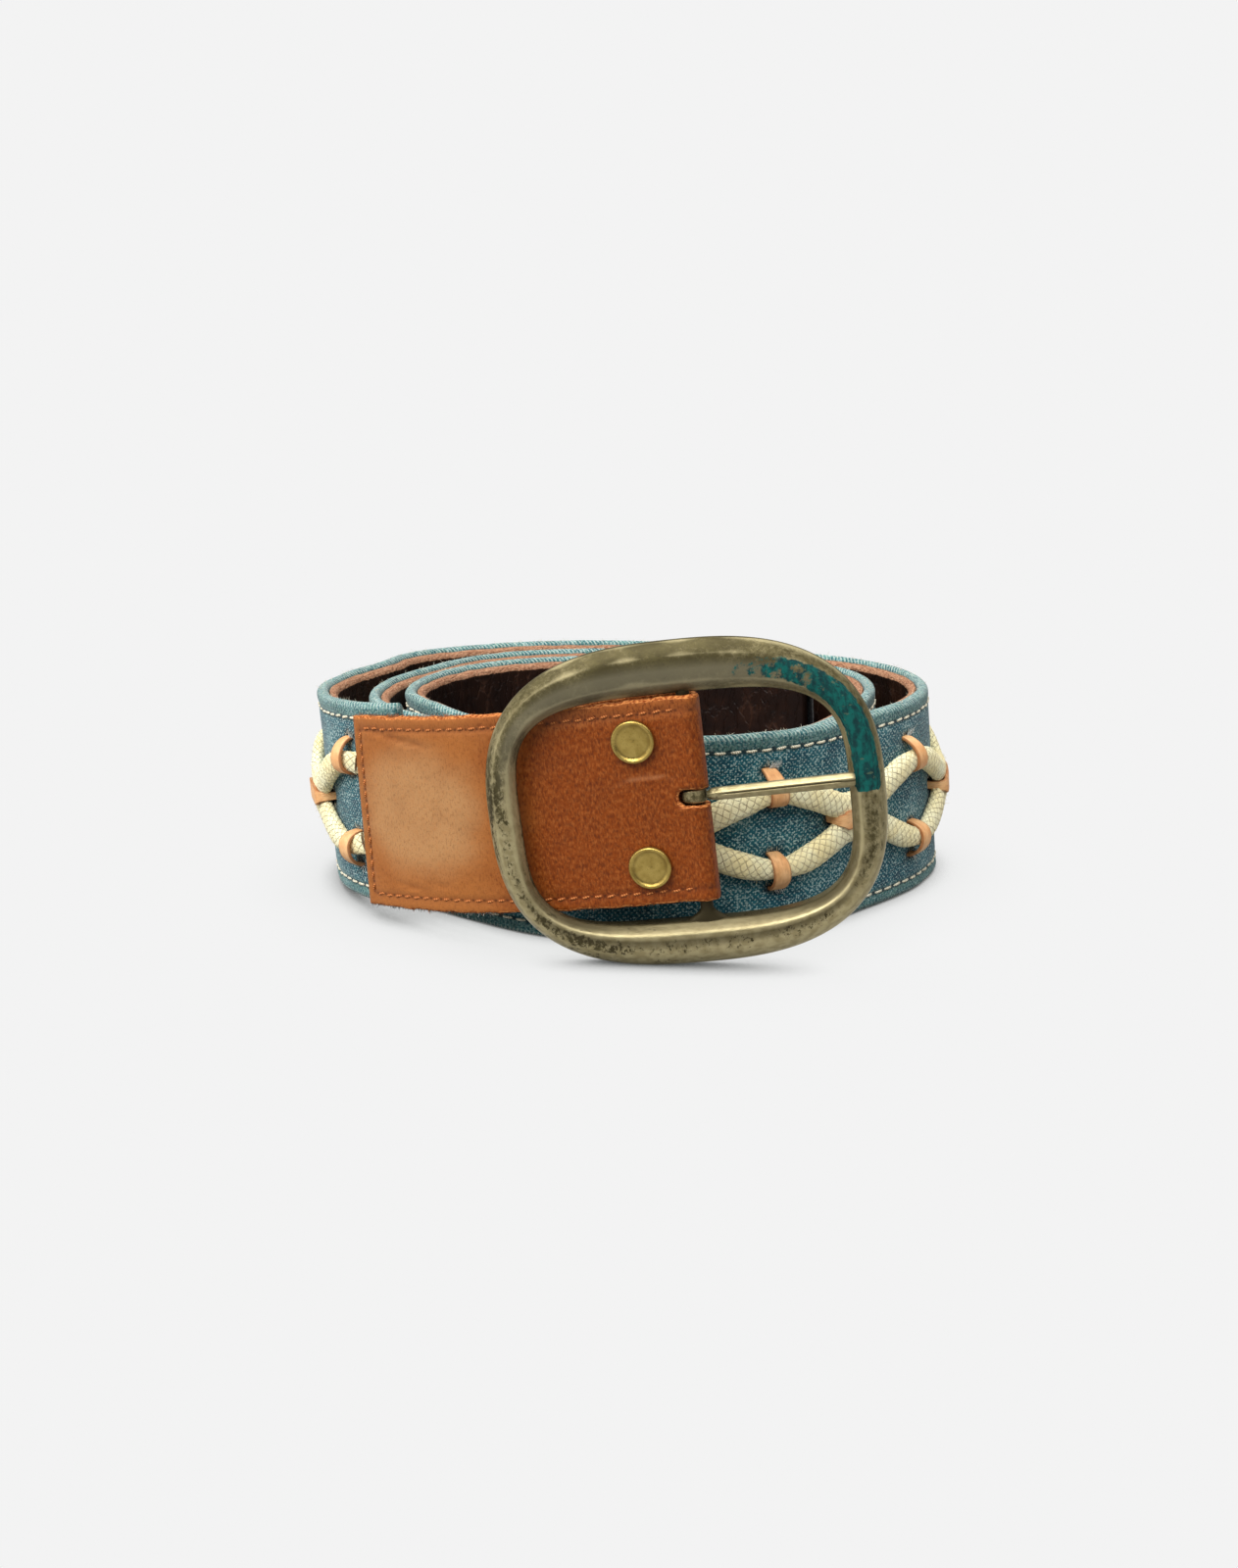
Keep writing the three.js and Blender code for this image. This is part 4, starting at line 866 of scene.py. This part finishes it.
def panel():
    path = panel_path()
    ahead = unit(np.gradient(path, axis=0))
    rows = height_rows(PANEL_HEIGHT, 0.8)
    for edge in (SLOT_MIDDLE - SLOT_HEIGHT / 2, SLOT_MIDDLE + SLOT_HEIGHT / 2):
        rows[np.argmin(np.abs(rows - edge))] = edge
    cell_s, cell_h = (path[:-1, :1] + path[1:, :1]) / 2, (rows[:-1] + rows[1:]) / 2
    keep = (cell_s >= SLOT_TO) | (np.abs(cell_h - SLOT_MIDDLE) >= SLOT_HEIGHT / 2)
    run = run_length(path)[:, None]
    h = rows + 0 * run
    s, out = path[:, :1] + 0 * h, path[:, 1:] + 0 * h
    # the slot's end on the front is round
    end_row = np.argmin(np.abs(path[:, 0] - SLOT_TO))
    from_middle = (rows - SLOT_MIDDLE) / (SLOT_HEIGHT / 2)
    inside = np.abs(from_middle) < 1.001
    round_end = SLOT_TO - SLOT_ROUND * (1 - np.sqrt(np.clip(1 - from_middle ** 2, 0, 1)))
    s[end_row, inside] = round_end[inside]
    s[end_row + 1, np.abs(np.abs(from_middle) - 1) < 0.001] = SLOT_EDGE
    out[end_row:end_row + 2] = front_level(s[end_row:end_row + 2])
    from_side = np.minimum(h, PANEL_HEIGHT - h)
    from_edge = np.minimum(from_side, run)
    on_front = (np.arange(len(path)) < np.argmin(path[:, 0]))[:, None]
    # grooves of the seams, and creases; the colour is darkened along them as painted shade
    low, high, left = PANEL_STITCH, PANEL_HEIGHT - PANEL_STITCH, PANEL_END - PANEL_STITCH
    groove = np.maximum(bell(h - low, 0.6), bell(h - high, 0.6)) * (s < left + 0.5)
    upright = bell(s - left, 0.6) * (h > low - 0.5) * (h < high + 0.5)
    seam = np.where(upright > groove, h - low - 0.15, s + 1.5) / PANEL_PITCH
    groove = np.maximum(groove, upright) * on_front
    swell = 0.2 * value_noise(s / 16, h / 13, 31) + 0.09 * value_noise(s / 4, h / 4, 32)
    for crease_s, crease_h, long, deep in CREASES:
        away = s - crease_s
        fold = deep * bell(h - crease_h - 0.2 * away, 0.45) * bell(away, long)
        swell -= 1.5 * fold
        groove = np.maximum(groove, 2.4 * fold * on_front)
    past_slot = np.maximum(np.abs(h - SLOT_MIDDLE) - SLOT_HEIGHT / 2, 0)
    to_slot = np.hypot(np.maximum(s - SLOT_TO, 0), past_slot)
    swell = np.clip(swell, -0.5, 0.14) * on_front - 0.3 * groove
    swell += 0.1 * bell(to_slot - 0.5, 0.45) * on_front
    fall = rounded(from_edge, 0.75)
    rough = 0.4 * value_noise(s / 1.7, 0 * h, 33) + 0.3 * value_noise(s / 5, 0 * h, 34)
    ragged = rough * (1 - np.clip(from_side / 2.2, 0, 1))
    edge = np.maximum(np.clip(1.3 - from_edge / 0.75, 0, 1), 0.75 * bell(to_slot, 0.4))
    scratch = bell(h - 29.9 + 0.03 * (s - 9.7) ** 2, 0.35) * bell(s - 9.7, 4.2) * on_front
    outer, inner = (place(s + ahead[:, 1:] * level, h + ragged, out - ahead[:, :1] * level)
                    for level in (PANEL / 2 - fall + swell, fall * 0.6 - PANEL / 2))
    lay = np.stack([PANEL_END - run + 0 * h, h, 0 * h], -1)
    layers = {"lay": (lay, lay + 0.3), "edge": (edge, 0 * h + 1), "groove": (groove, 0 * h),
              "seam": (seam, seam), "scratch": (scratch, 0 * h)}
    made, layers = thick_sheet(outer, inner, layers, keep)
    add_piece("buckle_end", made, layers, "panel", "leather_panel")


# Stitches, each a short bead of thread that dips into the cloth at both ends

def stitches(name, shade, rows, radius, slant=0.0):
    """rows: s, h, out, whether the stitch runs up, and its length."""
    phi, t = turn(6), np.linspace(-1, 1, 7)[:, None]
    thick = radius * np.sqrt(np.clip(1 - (t * 0.96) ** 4, 0, 1))
    rise = radius * 0.6 - 0.42 * np.abs(t) ** 3 - 0.06
    parts, lays = [], []
    for s, h, out, upright, length in rows:
        a, c = t * length / 2, thick * np.cos(phi)
        o = out + rise + thick * np.sin(phi)
        lean = (rng.uniform(-0.07, 0.07) + slant) * a
        parts.append(tube(place(s + c + lean, h + a, o) if upright else place(s + a, h + c + lean, o)))
        lays.append(triples(a + s, c + phi * 0.3, 0 * c))
    add_piece(name, many(parts), {"lay": np.concatenate(lays)}, shade)


def stitch_runs(start, end, heights, out, pitch, share):
    rows = []
    for h in heights:
        for k in range(int((end - start) / pitch)):
            rows.append((start + (k + 0.5) * pitch, h + rng.uniform(-0.12, 0.12), out, False,
                         pitch * share * rng.uniform(0.9, 1.05)))
    return rows


def all_stitches():
    end = STRAP_END - 4
    rows = stitch_runs(STITCH_START, end, (STITCH_LOW, STITCH_HIGH), -0.2, STITCH_PITCH, STITCH_SHARE)
    rows += [(end, STITCH_LOW + 2 + k * 4.2, -0.1, True, 3.3) for k in range(10)]
    stitches("denim_stitches", "cream", rows, 0.33, -0.06)
    back = 0.32 - LINING_FROM - LINING
    rows = stitch_runs(96, end, (STITCH_LOW, LINING_STITCH_TOP), back, STITCH_PITCH, 0.72)
    stitches("lining_stitches", "brown", rows, 0.26)
    front, left = PANEL_OUT + PANEL / 2 - 0.26, PANEL_END - PANEL_STITCH
    heights = (PANEL_STITCH, PANEL_HEIGHT - PANEL_STITCH)
    rows = stitch_runs(-1.5, left, heights, front, PANEL_PITCH, PANEL_SHARE)
    rows += [(left, PANEL_STITCH + 1.6 + k * PANEL_PITCH, front, True, 2.0) for k in range(14)]
    stitches("panel_stitches", "tan", rows, 0.3, -0.14)


# Loose fibres, thin bent tubes

def fibres(name, shade, rows, length, radius):
    """rows: where each fibre starts and where it heads, in strap numbers. It bends at random."""
    rows, length = np.array(rows), np.array(length)[:, None, None]
    heading = unit(rows[:, 3:])
    t = np.linspace(0, 1, 4)[:, None]
    bend = rng.normal(0, 0.45, (len(rows), 1, 3)) * length
    line = rows[:, None, :3] + heading[:, None] * length * t + bend * t ** 2 * 0.5
    across = np.where(np.abs(heading[:, 1:2]) > 0.55, (1.0, 0, 0), (0, 1.0, 0))[:, None, None]
    ring = np.cos(turn(3))[:, None] * across + np.sin(turn(3))[:, None] * (0, 0, 1.0)
    thin = np.array([1, 0.9, 0.7, 0.35])[:, None, None]
    rings = line[:, :, None] + radius * ring * thin
    parts = [tube(points) for points in place(*np.moveaxis(rings, -1, 0))]
    add_piece(name, many(parts), {"lay": rings.reshape(-1, 3)}, shade)


# Where along the strap the buckle passes over the leather, with room for fibres
UNDER_BUCKLE = 46.0
# How many fibres there are on each kind of edge, and on each rope
WHISKERS, FRINGE, ROPE_FUZZ, CORNER_FUZZ, EDGE_FUZZ = 900, 220, 1700, 120, 2200
SLIT_FRAY, TUFTS_ABOVE, TUFTS_BELOW = 9, 34, 10


def all_fibres(rope_lines):
    spread, stray = rng.uniform, rng.normal
    rows = []
    # white whiskers along the worn folds of the denim
    for _ in range(WHISKERS):
        top = rng.random() < 0.8
        rows.append((spread(PANEL_END, STRAP_END - 2), STRAP - 0.15 if top else 0.4, spread(-2.2, -0.6),
                     stray(0, 1), 0.5 if top else 0.1, stray(0, 0.4)))
    length = list(spread(0.5, 1.2, WHISKERS))
    # frayed threads at the slits
    for s, h, half_s, half_h in SLITS:
        for _ in range(SLIT_FRAY):
            up = 1 if rng.random() < 0.75 else -1
            rows.append((s + spread(-half_s, half_s), h + up * half_h, -0.1,
                         stray(0, 0.5), up, spread(0.1, 0.5)))
            length.append(spread(0.7, 1.9))
    fibres("denim_fray", "cream", rows, length, 0.055)
    rows, length = [], []
    # pale tufts pulled out at the outer slits
    for s in PAIRS:
        for side, count in ((1, TUFTS_ABOVE), (-1, TUFTS_BELOW)):
            slit = lace_middle(s) + side * (loop_distance(s) + LOOP_REACH)
            for _ in range(count):
                rows.append((s + LOOP_SHIFT - spread(0.2, 2.6), slit + side * spread(0, 0.5), -0.05,
                             -0.7 + stray(0, 0.35), side, spread(0.15, 0.7)))
                length.append(spread(0.7, 2.2))
    # white fringe that hangs out under the leather
    for _ in range(FRINGE):
        rows.append((spread(UNDER_BUCKLE + 4, 86), 0.2, spread(-0.2, 0.6),
                     stray(0, 0.8), -0.6, stray(0, 0.3)))
        length.append(spread(0.5, 1.5))
    fibres("slit_tufts", "white", rows, length, 0.11)
    rows = []
    for s, height, tall, level, deep in rope_lines:
        for k in rng.integers(0, len(s), ROPE_FUZZ):
            phi = spread(-0.2, np.pi + 0.2)
            c, o, swell = math.cos(phi), math.sin(phi), ROPE_SWELL * 0.97
            rows.append((s[k], height[k] + tall[k] * c * swell,
                         ROPE_GAP + level[k] + deep[k] * o * swell, stray(0, 0.9), c, o))
    fibres("rope_fuzz", "rope", rows, spread(0.35, 1.0, len(rows)), 0.05)
    rows, length = [], []
    # frayed end of the seam at the leather's upper right corner
    for _ in range(CORNER_FUZZ):
        rows.append((spread(-2.4, 4.5), PANEL_HEIGHT - spread(0.7, 1.6), spread(1.1, 1.9),
                     stray(0, 0.8), 0.7, stray(0, 0.4)))
        length.append(spread(0.2, 0.5))
    # short fibres along the leather's cut edges, clear of the buckle
    for _ in range(EDGE_FUZZ):
        top = rng.random() < 0.55
        s = rng.choice([spread(52, 86), spread(2, 30), spread(2, 86)])
        rows.append((s, PANEL_HEIGHT - 0.3 if top else 0.3, spread(0.5, 1.8),
                     stray(0, 1), 0.7 if top else -0.7, -abs(stray(0, 0.4))))
        length.append(spread(0.2, 0.5) if s < UNDER_BUCKLE else spread(0.3, 1.1))
    fibres("leather_fuzz", "tan", rows, length, 0.06)


# Brass work, in the buckle's own axes: across along the prong, up along the bar, out

LEAN, YAW = math.radians(7), math.radians(5)
ACROSS = Vector((math.cos(YAW) * math.cos(LEAN), -math.sin(YAW) * math.cos(LEAN), math.sin(LEAN)))
OUTWARD = Vector((-math.sin(YAW), -math.cos(YAW), 0))
AXES = np.array([ACROSS, OUTWARD.cross(ACROSS), OUTWARD])
BAR = place(0, PANEL_HEIGHT / 2 - FRAME_DROP, BAR_OUT)
RING_OUTER, RING_INNER = (44.5, 37.5, 2.68), (37.0, 26.5, 3.85)
RING_SHIFT, WINDOW_ACROSS, WINDOW_UP = -2.2, -0.4, -0.8
RING_BACK, RING_BACK_DEEP, DEEP_SIDE = -0.2, -2.6, math.radians(-70)
BAR_HALF, FOOT_HALF, FOOT_FROM, FOOT_TO = RING_INNER[1] + 2.5, 5.6, 24.6, 28.6


def in_buckle(x, y, z):
    return np.stack(np.broadcast_arrays(x, y, z), -1) @ AXES * 0.001 + BAR


def oblong(angle, half_width, half_height, power):
    across, up = np.abs(np.cos(angle) / half_width), np.abs(np.sin(angle) / half_height)
    return (across ** power + up ** power) ** (-1 / power)


# Ring section: part of the way out from the window, level, wear, and 1 where the level is
# counted from the back
RING_SECTION = np.array([
    (0.5, 0, 0, 1), (0.06, 0, 0, 1), (0.0, 0.3, 0.1, 1), (0.0, 0.55, 0.1, 0), (0.0, 0.85, 0.2, 0),
    (0.012, 1.12, 0.5, 0), (0.035, 1.4, 0.8, 0), (0.1, 2.0, 0.6, 0), (0.18, 2.68, 0.7, 0),
    (0.235, 3.05, 1.0, 0), (0.29, 3.2, 0.7, 0), (0.37, 3.28, 0.3, 0), (0.47, 3.3, 0.1, 0),
    (0.58, 3.26, 0.1, 0), (0.67, 3.13, 0.3, 0), (0.74, 2.92, 0.7, 0), (0.8, 2.63, 0.5, 0),
    (0.88, 2.12, 0.3, 0), (0.945, 1.58, 0.5, 0), (0.985, 1.12, 0.8, 0), (1.0, 0.75, 0.4, 0),
    (1.0, 0.3, 0.1, 1), (0.985, 0.08, 0, 1), (0.94, 0, 0, 1),
])
# Round the ring, in degrees: the green crust, where the brass is evenly dull, and its age
TEAL_TO, TEAL_ANGLES, TEAL = -0.5, (28, 36, 52, 66, 72), (1.0, 0.55, 0.42, 0.3, 0.0)
CALM_ANGLES, CALM = (-180, -40, -15, 20, 140, 165, 180), (0.1, 0.0, 0.6, 1.0, 1.0, 0.4, 0.1)
AGE_ANGLES = (-180, -135, -90, -45, 0, 45, 90, 135, 180)
AGE = (0.6, 0.5, 0.3, 0.32, 0.42, 0.8, 1.15, 0.88, 0.6)
# Painted shade across the ring's lower side: dark over the inner wall and bevel, clear at the crease, and
# dark again in a band beyond it
LOW_SHADE_PARTS = (0.0, 0.1, 0.19, 0.235, 0.29, 0.36, 0.5, 0.58)
LOW_SHADE = (0.9, 0.95, 0.75, 0.0, 0.1, 0.8, 0.5, 0.0)


def ring():
    angle = turn(260)[:, None]
    part, level, wear_and_painted_light, at_back = RING_SECTION.T[:, None]
    deep = eased(np.cos(angle - DEEP_SIDE), 0.1, 0.8)
    level = level + at_back * (RING_BACK + (RING_BACK_DEEP - RING_BACK) * deep)
    inner = oblong(angle, *RING_INNER)
    radius = inner + (oblong(angle, *RING_OUTER) - inner) * part
    dents = 0.05 * value_noise(angle * 9 + 7, part * 5, 41)
    dents += 0.035 * value_noise(angle * 30 + 9, part * 9, 42)
    x = RING_SHIFT + WINDOW_ACROSS * (1 - part) + radius * np.cos(angle)
    y = WINDOW_UP * (1 - part) + radius * np.sin(angle)
    degrees = np.degrees(np.arctan2(y, x - RING_SHIFT))
    sweep = np.interp(degrees, TEAL_ANGLES, TEAL) * np.clip((degrees - TEAL_TO) / 1.2, 0, 1)
    narrow = np.interp(degrees, (TEAL_TO, 30, 60), (0.34, 0.33, 0.26))
    side = np.clip((narrow + 0.08 - np.abs(part - 0.5)) / 0.14, 0, 1)
    upper = np.interp(degrees, (20, 60, 150, 175), (0, 1, 1, 0))
    low_side = np.clip(-np.sin(np.radians(degrees)) * 2.2 - 0.4, 0, 1)
    # each layer on the ring, and its one value on the bar
    fields = {
        "wear_and_painted_light": (np.clip(wear_and_painted_light + 0.6 * value_noise(angle * 6 + 3, part * 3, 43), 0, 1), 0.0),
        "teal": (sweep * side * (level > 1.5), 0.0),
        "age": (np.interp(degrees, AGE_ANGLES, AGE) + 0.25 * value_noise(angle * 4 + 3, part * 2, 44), 1.0),
        "calm": (np.interp(degrees, CALM_ANGLES, CALM), 0.5),
        # painted reflection on the inner half of the upper side
        "painted_reflection": (upper * np.interp(part, (0.05, 0.2, 0.5, 0.62), (0.3, 1, 1, 0)), 0.0),
        # painted shade on the lower side, and all over the bar
        "crust_and_shade": (low_side * np.interp(part, LOW_SHADE_PARTS, LOW_SHADE), 1.0),
    }
    # the bar, and its flat spread foot below the leather
    up = np.concatenate([np.linspace(-BAR_HALF, -22, 14), np.linspace(-18, 18, 7),
                         np.linspace(22, BAR_HALF, 6)])[:, None]
    foot = eased(-up, FOOT_FROM, FOOT_TO)
    bx = (BAR_RADIUS + (FOOT_HALF - BAR_RADIUS) * foot) * np.cos(turn(24))
    bz = (BAR_RADIUS + 0.4 * foot) * np.sin(turn(24)) * (1 - 0.25 * foot)
    parts = [hoop(in_buckle(x, y, level + dents * (level > 0.9))), tube(in_buckle(bx, up, bz))]
    layers = {"lay": np.concatenate([triples(x, y, level * 3), triples(bx, up, bz * 3)])}
    for key, (values, on_bar) in fields.items():
        layers[key] = np.concatenate([values.ravel(), np.full(bx.size, on_bar)])
    add_piece("buckle_ring", many(parts), layers, "frame", "buckle_frame", "frame")


PRONG_FROM, PRONG_LENGTH, PRONG_RISE = 2.3, 35.7, 1.1
PRONG_HALF, PRONG_TIP_HALF, PRONG_THICK = 1.5, 1.62, 2.2
PRONG_ROOT, PRONG_TIP, PRONG_ROOT_HALF = 1.65, 4.3, 1.4
EYE_RADIUS, EYE_SHAPE = 2.75, 3

# Shank section, in halves of its width and thickness: a bright facet above, a dark groove,
# a plain facet below
SHANK = np.array([
    (1, -0.5), (1, 0.0), (0.97, 0.2), (0.9, 0.3), (0.48, 0.88), (0.4, 0.98), (0.3, 1.0), (0.22, 0.96),
    (0.16, 0.86), (0.1, 0.7), (0.02, 0.66), (-0.06, 0.76), (-0.12, 0.84), (-0.2, 0.86), (-0.5, 0.68),
    (-0.88, 0.42), (-0.97, 0.28), (-1, 0.0), (-1, -0.5), (-0.85, -1), (0, -1), (0.85, -1),
])
# The same without the groove
SHANK_FLAT = SHANK.copy()
SHANK_FLAT[7:16] = ((0.22, 1.0), (0.16, 1.0), (0.1, 1.0), (0.02, 1.0), (-0.06, 1.0), (-0.12, 1.0),
                    (-0.3, 1.0), (-0.55, 0.8), (-0.88, 0.4))
# The eye's section: how far in from its surface, and place across in halves of its width
EYE_SECTION = np.array([
    (0, -0.8), (0, 0.8), (-0.06, 0.93), (-0.22, 1.0), (-0.8, 1.0), (-0.95, 0.9), (-0.95, -0.9),
    (-0.8, -1.0), (-0.22, -1.0), (-0.06, -0.93),
])


def prong():
    along = np.concatenate([np.linspace(2.9, 6, 8), np.linspace(6.6, 33.8, 30),
                            [34.4, 34.9, 35.25, 35.5, 35.65, 35.7]])[:, None]
    t = (along - PRONG_FROM) / (PRONG_LENGTH - PRONG_FROM)
    half = PRONG_ROOT_HALF + (PRONG_TIP_HALF - PRONG_ROOT_HALF) * t
    half = half * np.interp(along, (33.8, 35.0, 35.5, 35.65, 35.7), (1, 0.96, 0.84, 0.72, 0.6))
    # the shank grows out of the plate in a point
    half *= np.interp(along, (2.9, 4.2, 5.4), (0.55, 0.92, 1.0))
    thick = PRONG_THICK / 2 * np.interp(along, (33.8, 35.3, 35.7), (1, 0.9, 0.6))
    grooved = (eased(along, 5.0, 7.5) * (1 - eased(along, 31.5, 34.2)))[..., None]
    across, level = np.moveaxis(SHANK_FLAT + (SHANK - SHANK_FLAT) * grooved, -1, 0)
    nicks = 0.03 * value_noise(along * 0.9, across * 2 + 9, 45)
    x = along + 0 * nicks
    y = PRONG_UP + PRONG_RISE * t + half * across
    z = PRONG_ROOT + (PRONG_TIP - PRONG_ROOT) * t + thick * level + nicks
    crest = np.clip(1.3 - np.abs(SHANK[:, 0] - 0.5) * 2.2, 0.25, 1) * np.clip(SHANK[:, 1] * 2, 0, 1)
    in_groove = bell(SHANK[:, 0] - 0.03, 0.16) * (SHANK[:, 1] > 0)
    # the eye round the bar, its front flattened to a plate that is narrower at the left
    phi = turn(40)[:, None]
    inward, place_across = EYE_SECTION.T
    wide = PRONG_HALF * (1 - 0.38 * np.clip(-np.cos(phi), 0, 1) ** 1.5)
    radius = oblong(phi, EYE_RADIUS, EYE_RADIUS, EYE_SHAPE) + inward
    radius = np.maximum(radius, BAR_RADIUS + CLEARANCE)
    ex, ey, ez = radius * np.cos(phi), PRONG_UP + wide * place_across, radius * np.sin(phi)
    bright = np.where((np.abs(place_across) > 0.9) & (inward > -0.3), 0.8, 0.0)
    # each layer on the shank and on the eye
    fields = {
        # the upper facet is paler, partly wear and partly a painted highlight; the eye's side edges are
        # worn
        "wear_and_painted_light": (crest * np.clip((along - 5) / 1.5, 0, 1), bright + 0 * ex),
        "age": (np.interp(along, (3, 6, 35), (0.7, 0.05, 0.0)) + 0 * x, 0.45 + 0 * ex),
        # the groove is darker
        "crust_and_shade": (in_groove * eased(along, 5.0, 8.0), 0 * ex),
        "calm": (0.4 + 0 * x, 0.4 + 0 * ex),
        "painted_reflection": (0 * x, 0 * ex),
    }
    layers = {"lay": np.concatenate([triples(x, y, z * 2), triples(ex, ey, ez * 2)])}
    for key, sides in fields.items():
        layers[key] = np.concatenate([values.ravel() for values in sides])
    made = many([tube(in_buckle(x, y, z)), hoop(in_buckle(ex, ey, ez))])
    add_piece("buckle_tongue", made, layers, "prong", "buckle_prong", "prong")


def rivet(node, s, h):
    front, back = CLEARANCE * 2 + PANEL, PANEL_BACK - PANEL / 2 - CLEARANCE
    rim, top = RIVET_RADIUS, front + RIVET_CAP
    profile = np.array([
        (0.001, back - 0.7), (2.6, back - 0.7), (3.2, back - 0.55), (3.4, back - 0.3), (3.3, back),
        (1.6, back + 0.02), (1.6, front - 0.1), (rim - 0.3, front - 0.08), (rim, front + 0.2),
        (rim, front + 0.65), (rim - 0.1, top - 0.25), (rim - 0.3, top - 0.06), (rim - 0.5, top),
        (rim - 0.72, top - 0.05), (rim - 0.95, top - 0.24), (rim - 1.15, top - 0.38),
        (rim - 1.45, top - 0.45), (rim - 1.8, top - 0.42), (2.4, top - 0.36), (1.2, top - 0.3),
        (0.001, top - 0.28),
    ])
    phi, (out, level) = turn(56), profile.T[..., None]
    radius = out * (1 + 0.004 * np.sin(phi * 3))
    x, y = radius * np.cos(phi), radius * np.sin(phi)
    on_cap = level > front + 0.5
    z = level + 0.05 * value_noise(x / 2.2 + 20, y / 2.2 + 20, 51) * on_cap
    origin = place(s, h, 0.0)
    outward = unit(place(s, h, 1.0) - origin)
    across = np.cross(unit(place(s, h + 1, 0.0) - origin), outward)
    points = origin + np.stack([x, y, z], -1) @ [across, np.cross(outward, across), outward] * 0.001
    # painted shade: a dark line in the groove between the cap's rim and its dome
    crease = bell(out - (rim - 1.25), 0.3) * on_cap
    layers = {"lay": triples(x, y, z * 2) + h, "wear_and_painted_light": (crease + 0 * x).ravel()}
    add_piece(node + "_cap", tube(points), layers, "rivet", node)


denim()
lining()
ropes = [rope(1, "rope_upper_braid", "rope_upper", 61), rope(-1, "rope_lower_braid", "rope_lower", 66)]
lacing()
panel()
all_stitches()
all_fibres(ropes)
ring()
prong()
for node, (s, h) in RIVETS.items():
    rivet(node, s, h)

# Floor, light and camera

# The paper's tone, and half its size in metres
PAPER = (243, 243, 243)
FLOOR_HALF = 6.0
# How far from the floor something still casts a painted shadow on it, close by and widely, in metres
NEAR_SHADE, WIDE_SHADE = 0.009, 0.03
# What the floor gives to diffuse and to mirrored light, and the walls and ceiling around it
FLOOR_BOUNCE, FLOOR_MIRRORED = 0.46, 0.85
SKY_LOW, SKY_HIGH = 0.26, 1.95
# The camera's place in millimetres, its lens, and its tilt in degrees, where 90 is level
CAMERA_PLACE, CAMERA_LENS, CAMERA_TILT = (-1, -454, 148), 40.5, 74.5


def floor():
    """A pale sheet of paper that glows evenly. Near what stands on it a shadow is painted into its glow,
    and it gives less light there.
    """
    mesh = bpy.data.meshes.new("floor")
    corners = [(x * FLOOR_HALF, y * FLOOR_HALF, 0) for x, y in ((-1, -1), (1, -1), (1, 1), (-1, 1))]
    mesh.from_pydata(corners, [], [(0, 1, 2, 3)])
    obj = bpy.data.objects.new("floor", mesh)
    bpy.context.collection.objects.link(obj)
    m = Shade("floor_paper", 0.95)
    near, wide = (m.make("ShaderNodeAmbientOcclusion", {"Distance": reach}, "AO", samples=5)
                  for reach in (NEAR_SHADE, WIDE_SHADE))
    seen, glossy = (m.make("ShaderNodeLightPath", (), key) for key in ("Is Camera Ray", "Is Glossy Ray"))
    # painted shadows: the paper darkens near what stands on it, close by and widely
    m.base = m.mix(wide.ease(0.25, 0.95), (231, 232, 231), PAPER)
    tone = m.mix(near.ease(0.1, 0.8), (70, 72, 70), m.base)
    bounce = wide.ease(0.2, 0.95, FLOOR_BOUNCE * 0.12, FLOOR_BOUNCE)
    strength = m.math("MAXIMUM", seen, glossy.ease(0, 1, bounce, FLOOR_MIRRORED))
    glow = m.make("ShaderNodeEmission", {"Color": tone, "Strength": strength})
    m.feed(m.tree.nodes["Material Output"].inputs["Surface"], glow)
    mesh.materials.append(m.material)


def world():
    """White to the camera, as light a soft ceiling over darker walls."""
    made = bpy.data.worlds.new("studio")
    bpy.context.scene.world = made
    made.use_nodes = True
    w = Nodes(made.node_tree)
    background = made.node_tree.nodes["Background"].inputs
    background["Color"].default_value = srgb(*PAPER)
    _, _, up = w.split(w.make("ShaderNodeTexCoord", (), "Generated"))
    seen = w.make("ShaderNodeLightPath", (), "Is Camera Ray")
    w.feed(background["Strength"], seen.ease(0, 1, up.ease(0.3, 0.85, SKY_LOW, SKY_HIGH), 1.0))


def sun(name, direction, strength, angle):
    light = bpy.data.lights.new(name, "SUN")
    light.energy = strength
    light.angle = math.radians(angle)
    obj = bpy.data.objects.new(name, light)
    obj.rotation_euler = Vector(direction).to_track_quat("-Z", "Y").to_euler()
    bpy.context.collection.objects.link(obj)


def camera():
    data = bpy.data.cameras.new("camera")
    data.lens = CAMERA_LENS
    data.sensor_width = 36
    data.clip_start = 0.01
    obj = bpy.data.objects.new("camera", data)
    obj.location = (Vector(CAMERA_PLACE) - Vector((*MIDDLE, 0))) * 0.001
    obj.rotation_euler = Euler((math.radians(CAMERA_TILT), 0, 0))
    bpy.context.collection.objects.link(obj)
    bpy.context.scene.camera = obj


floor()
world()
sun("key", (0.45, 0.6, -0.9), 2.65, 40)
sun("side", (1.0, 0.35, -0.25), 0.75, 50)
camera()
bpy.context.scene.view_settings.view_transform = "Standard"
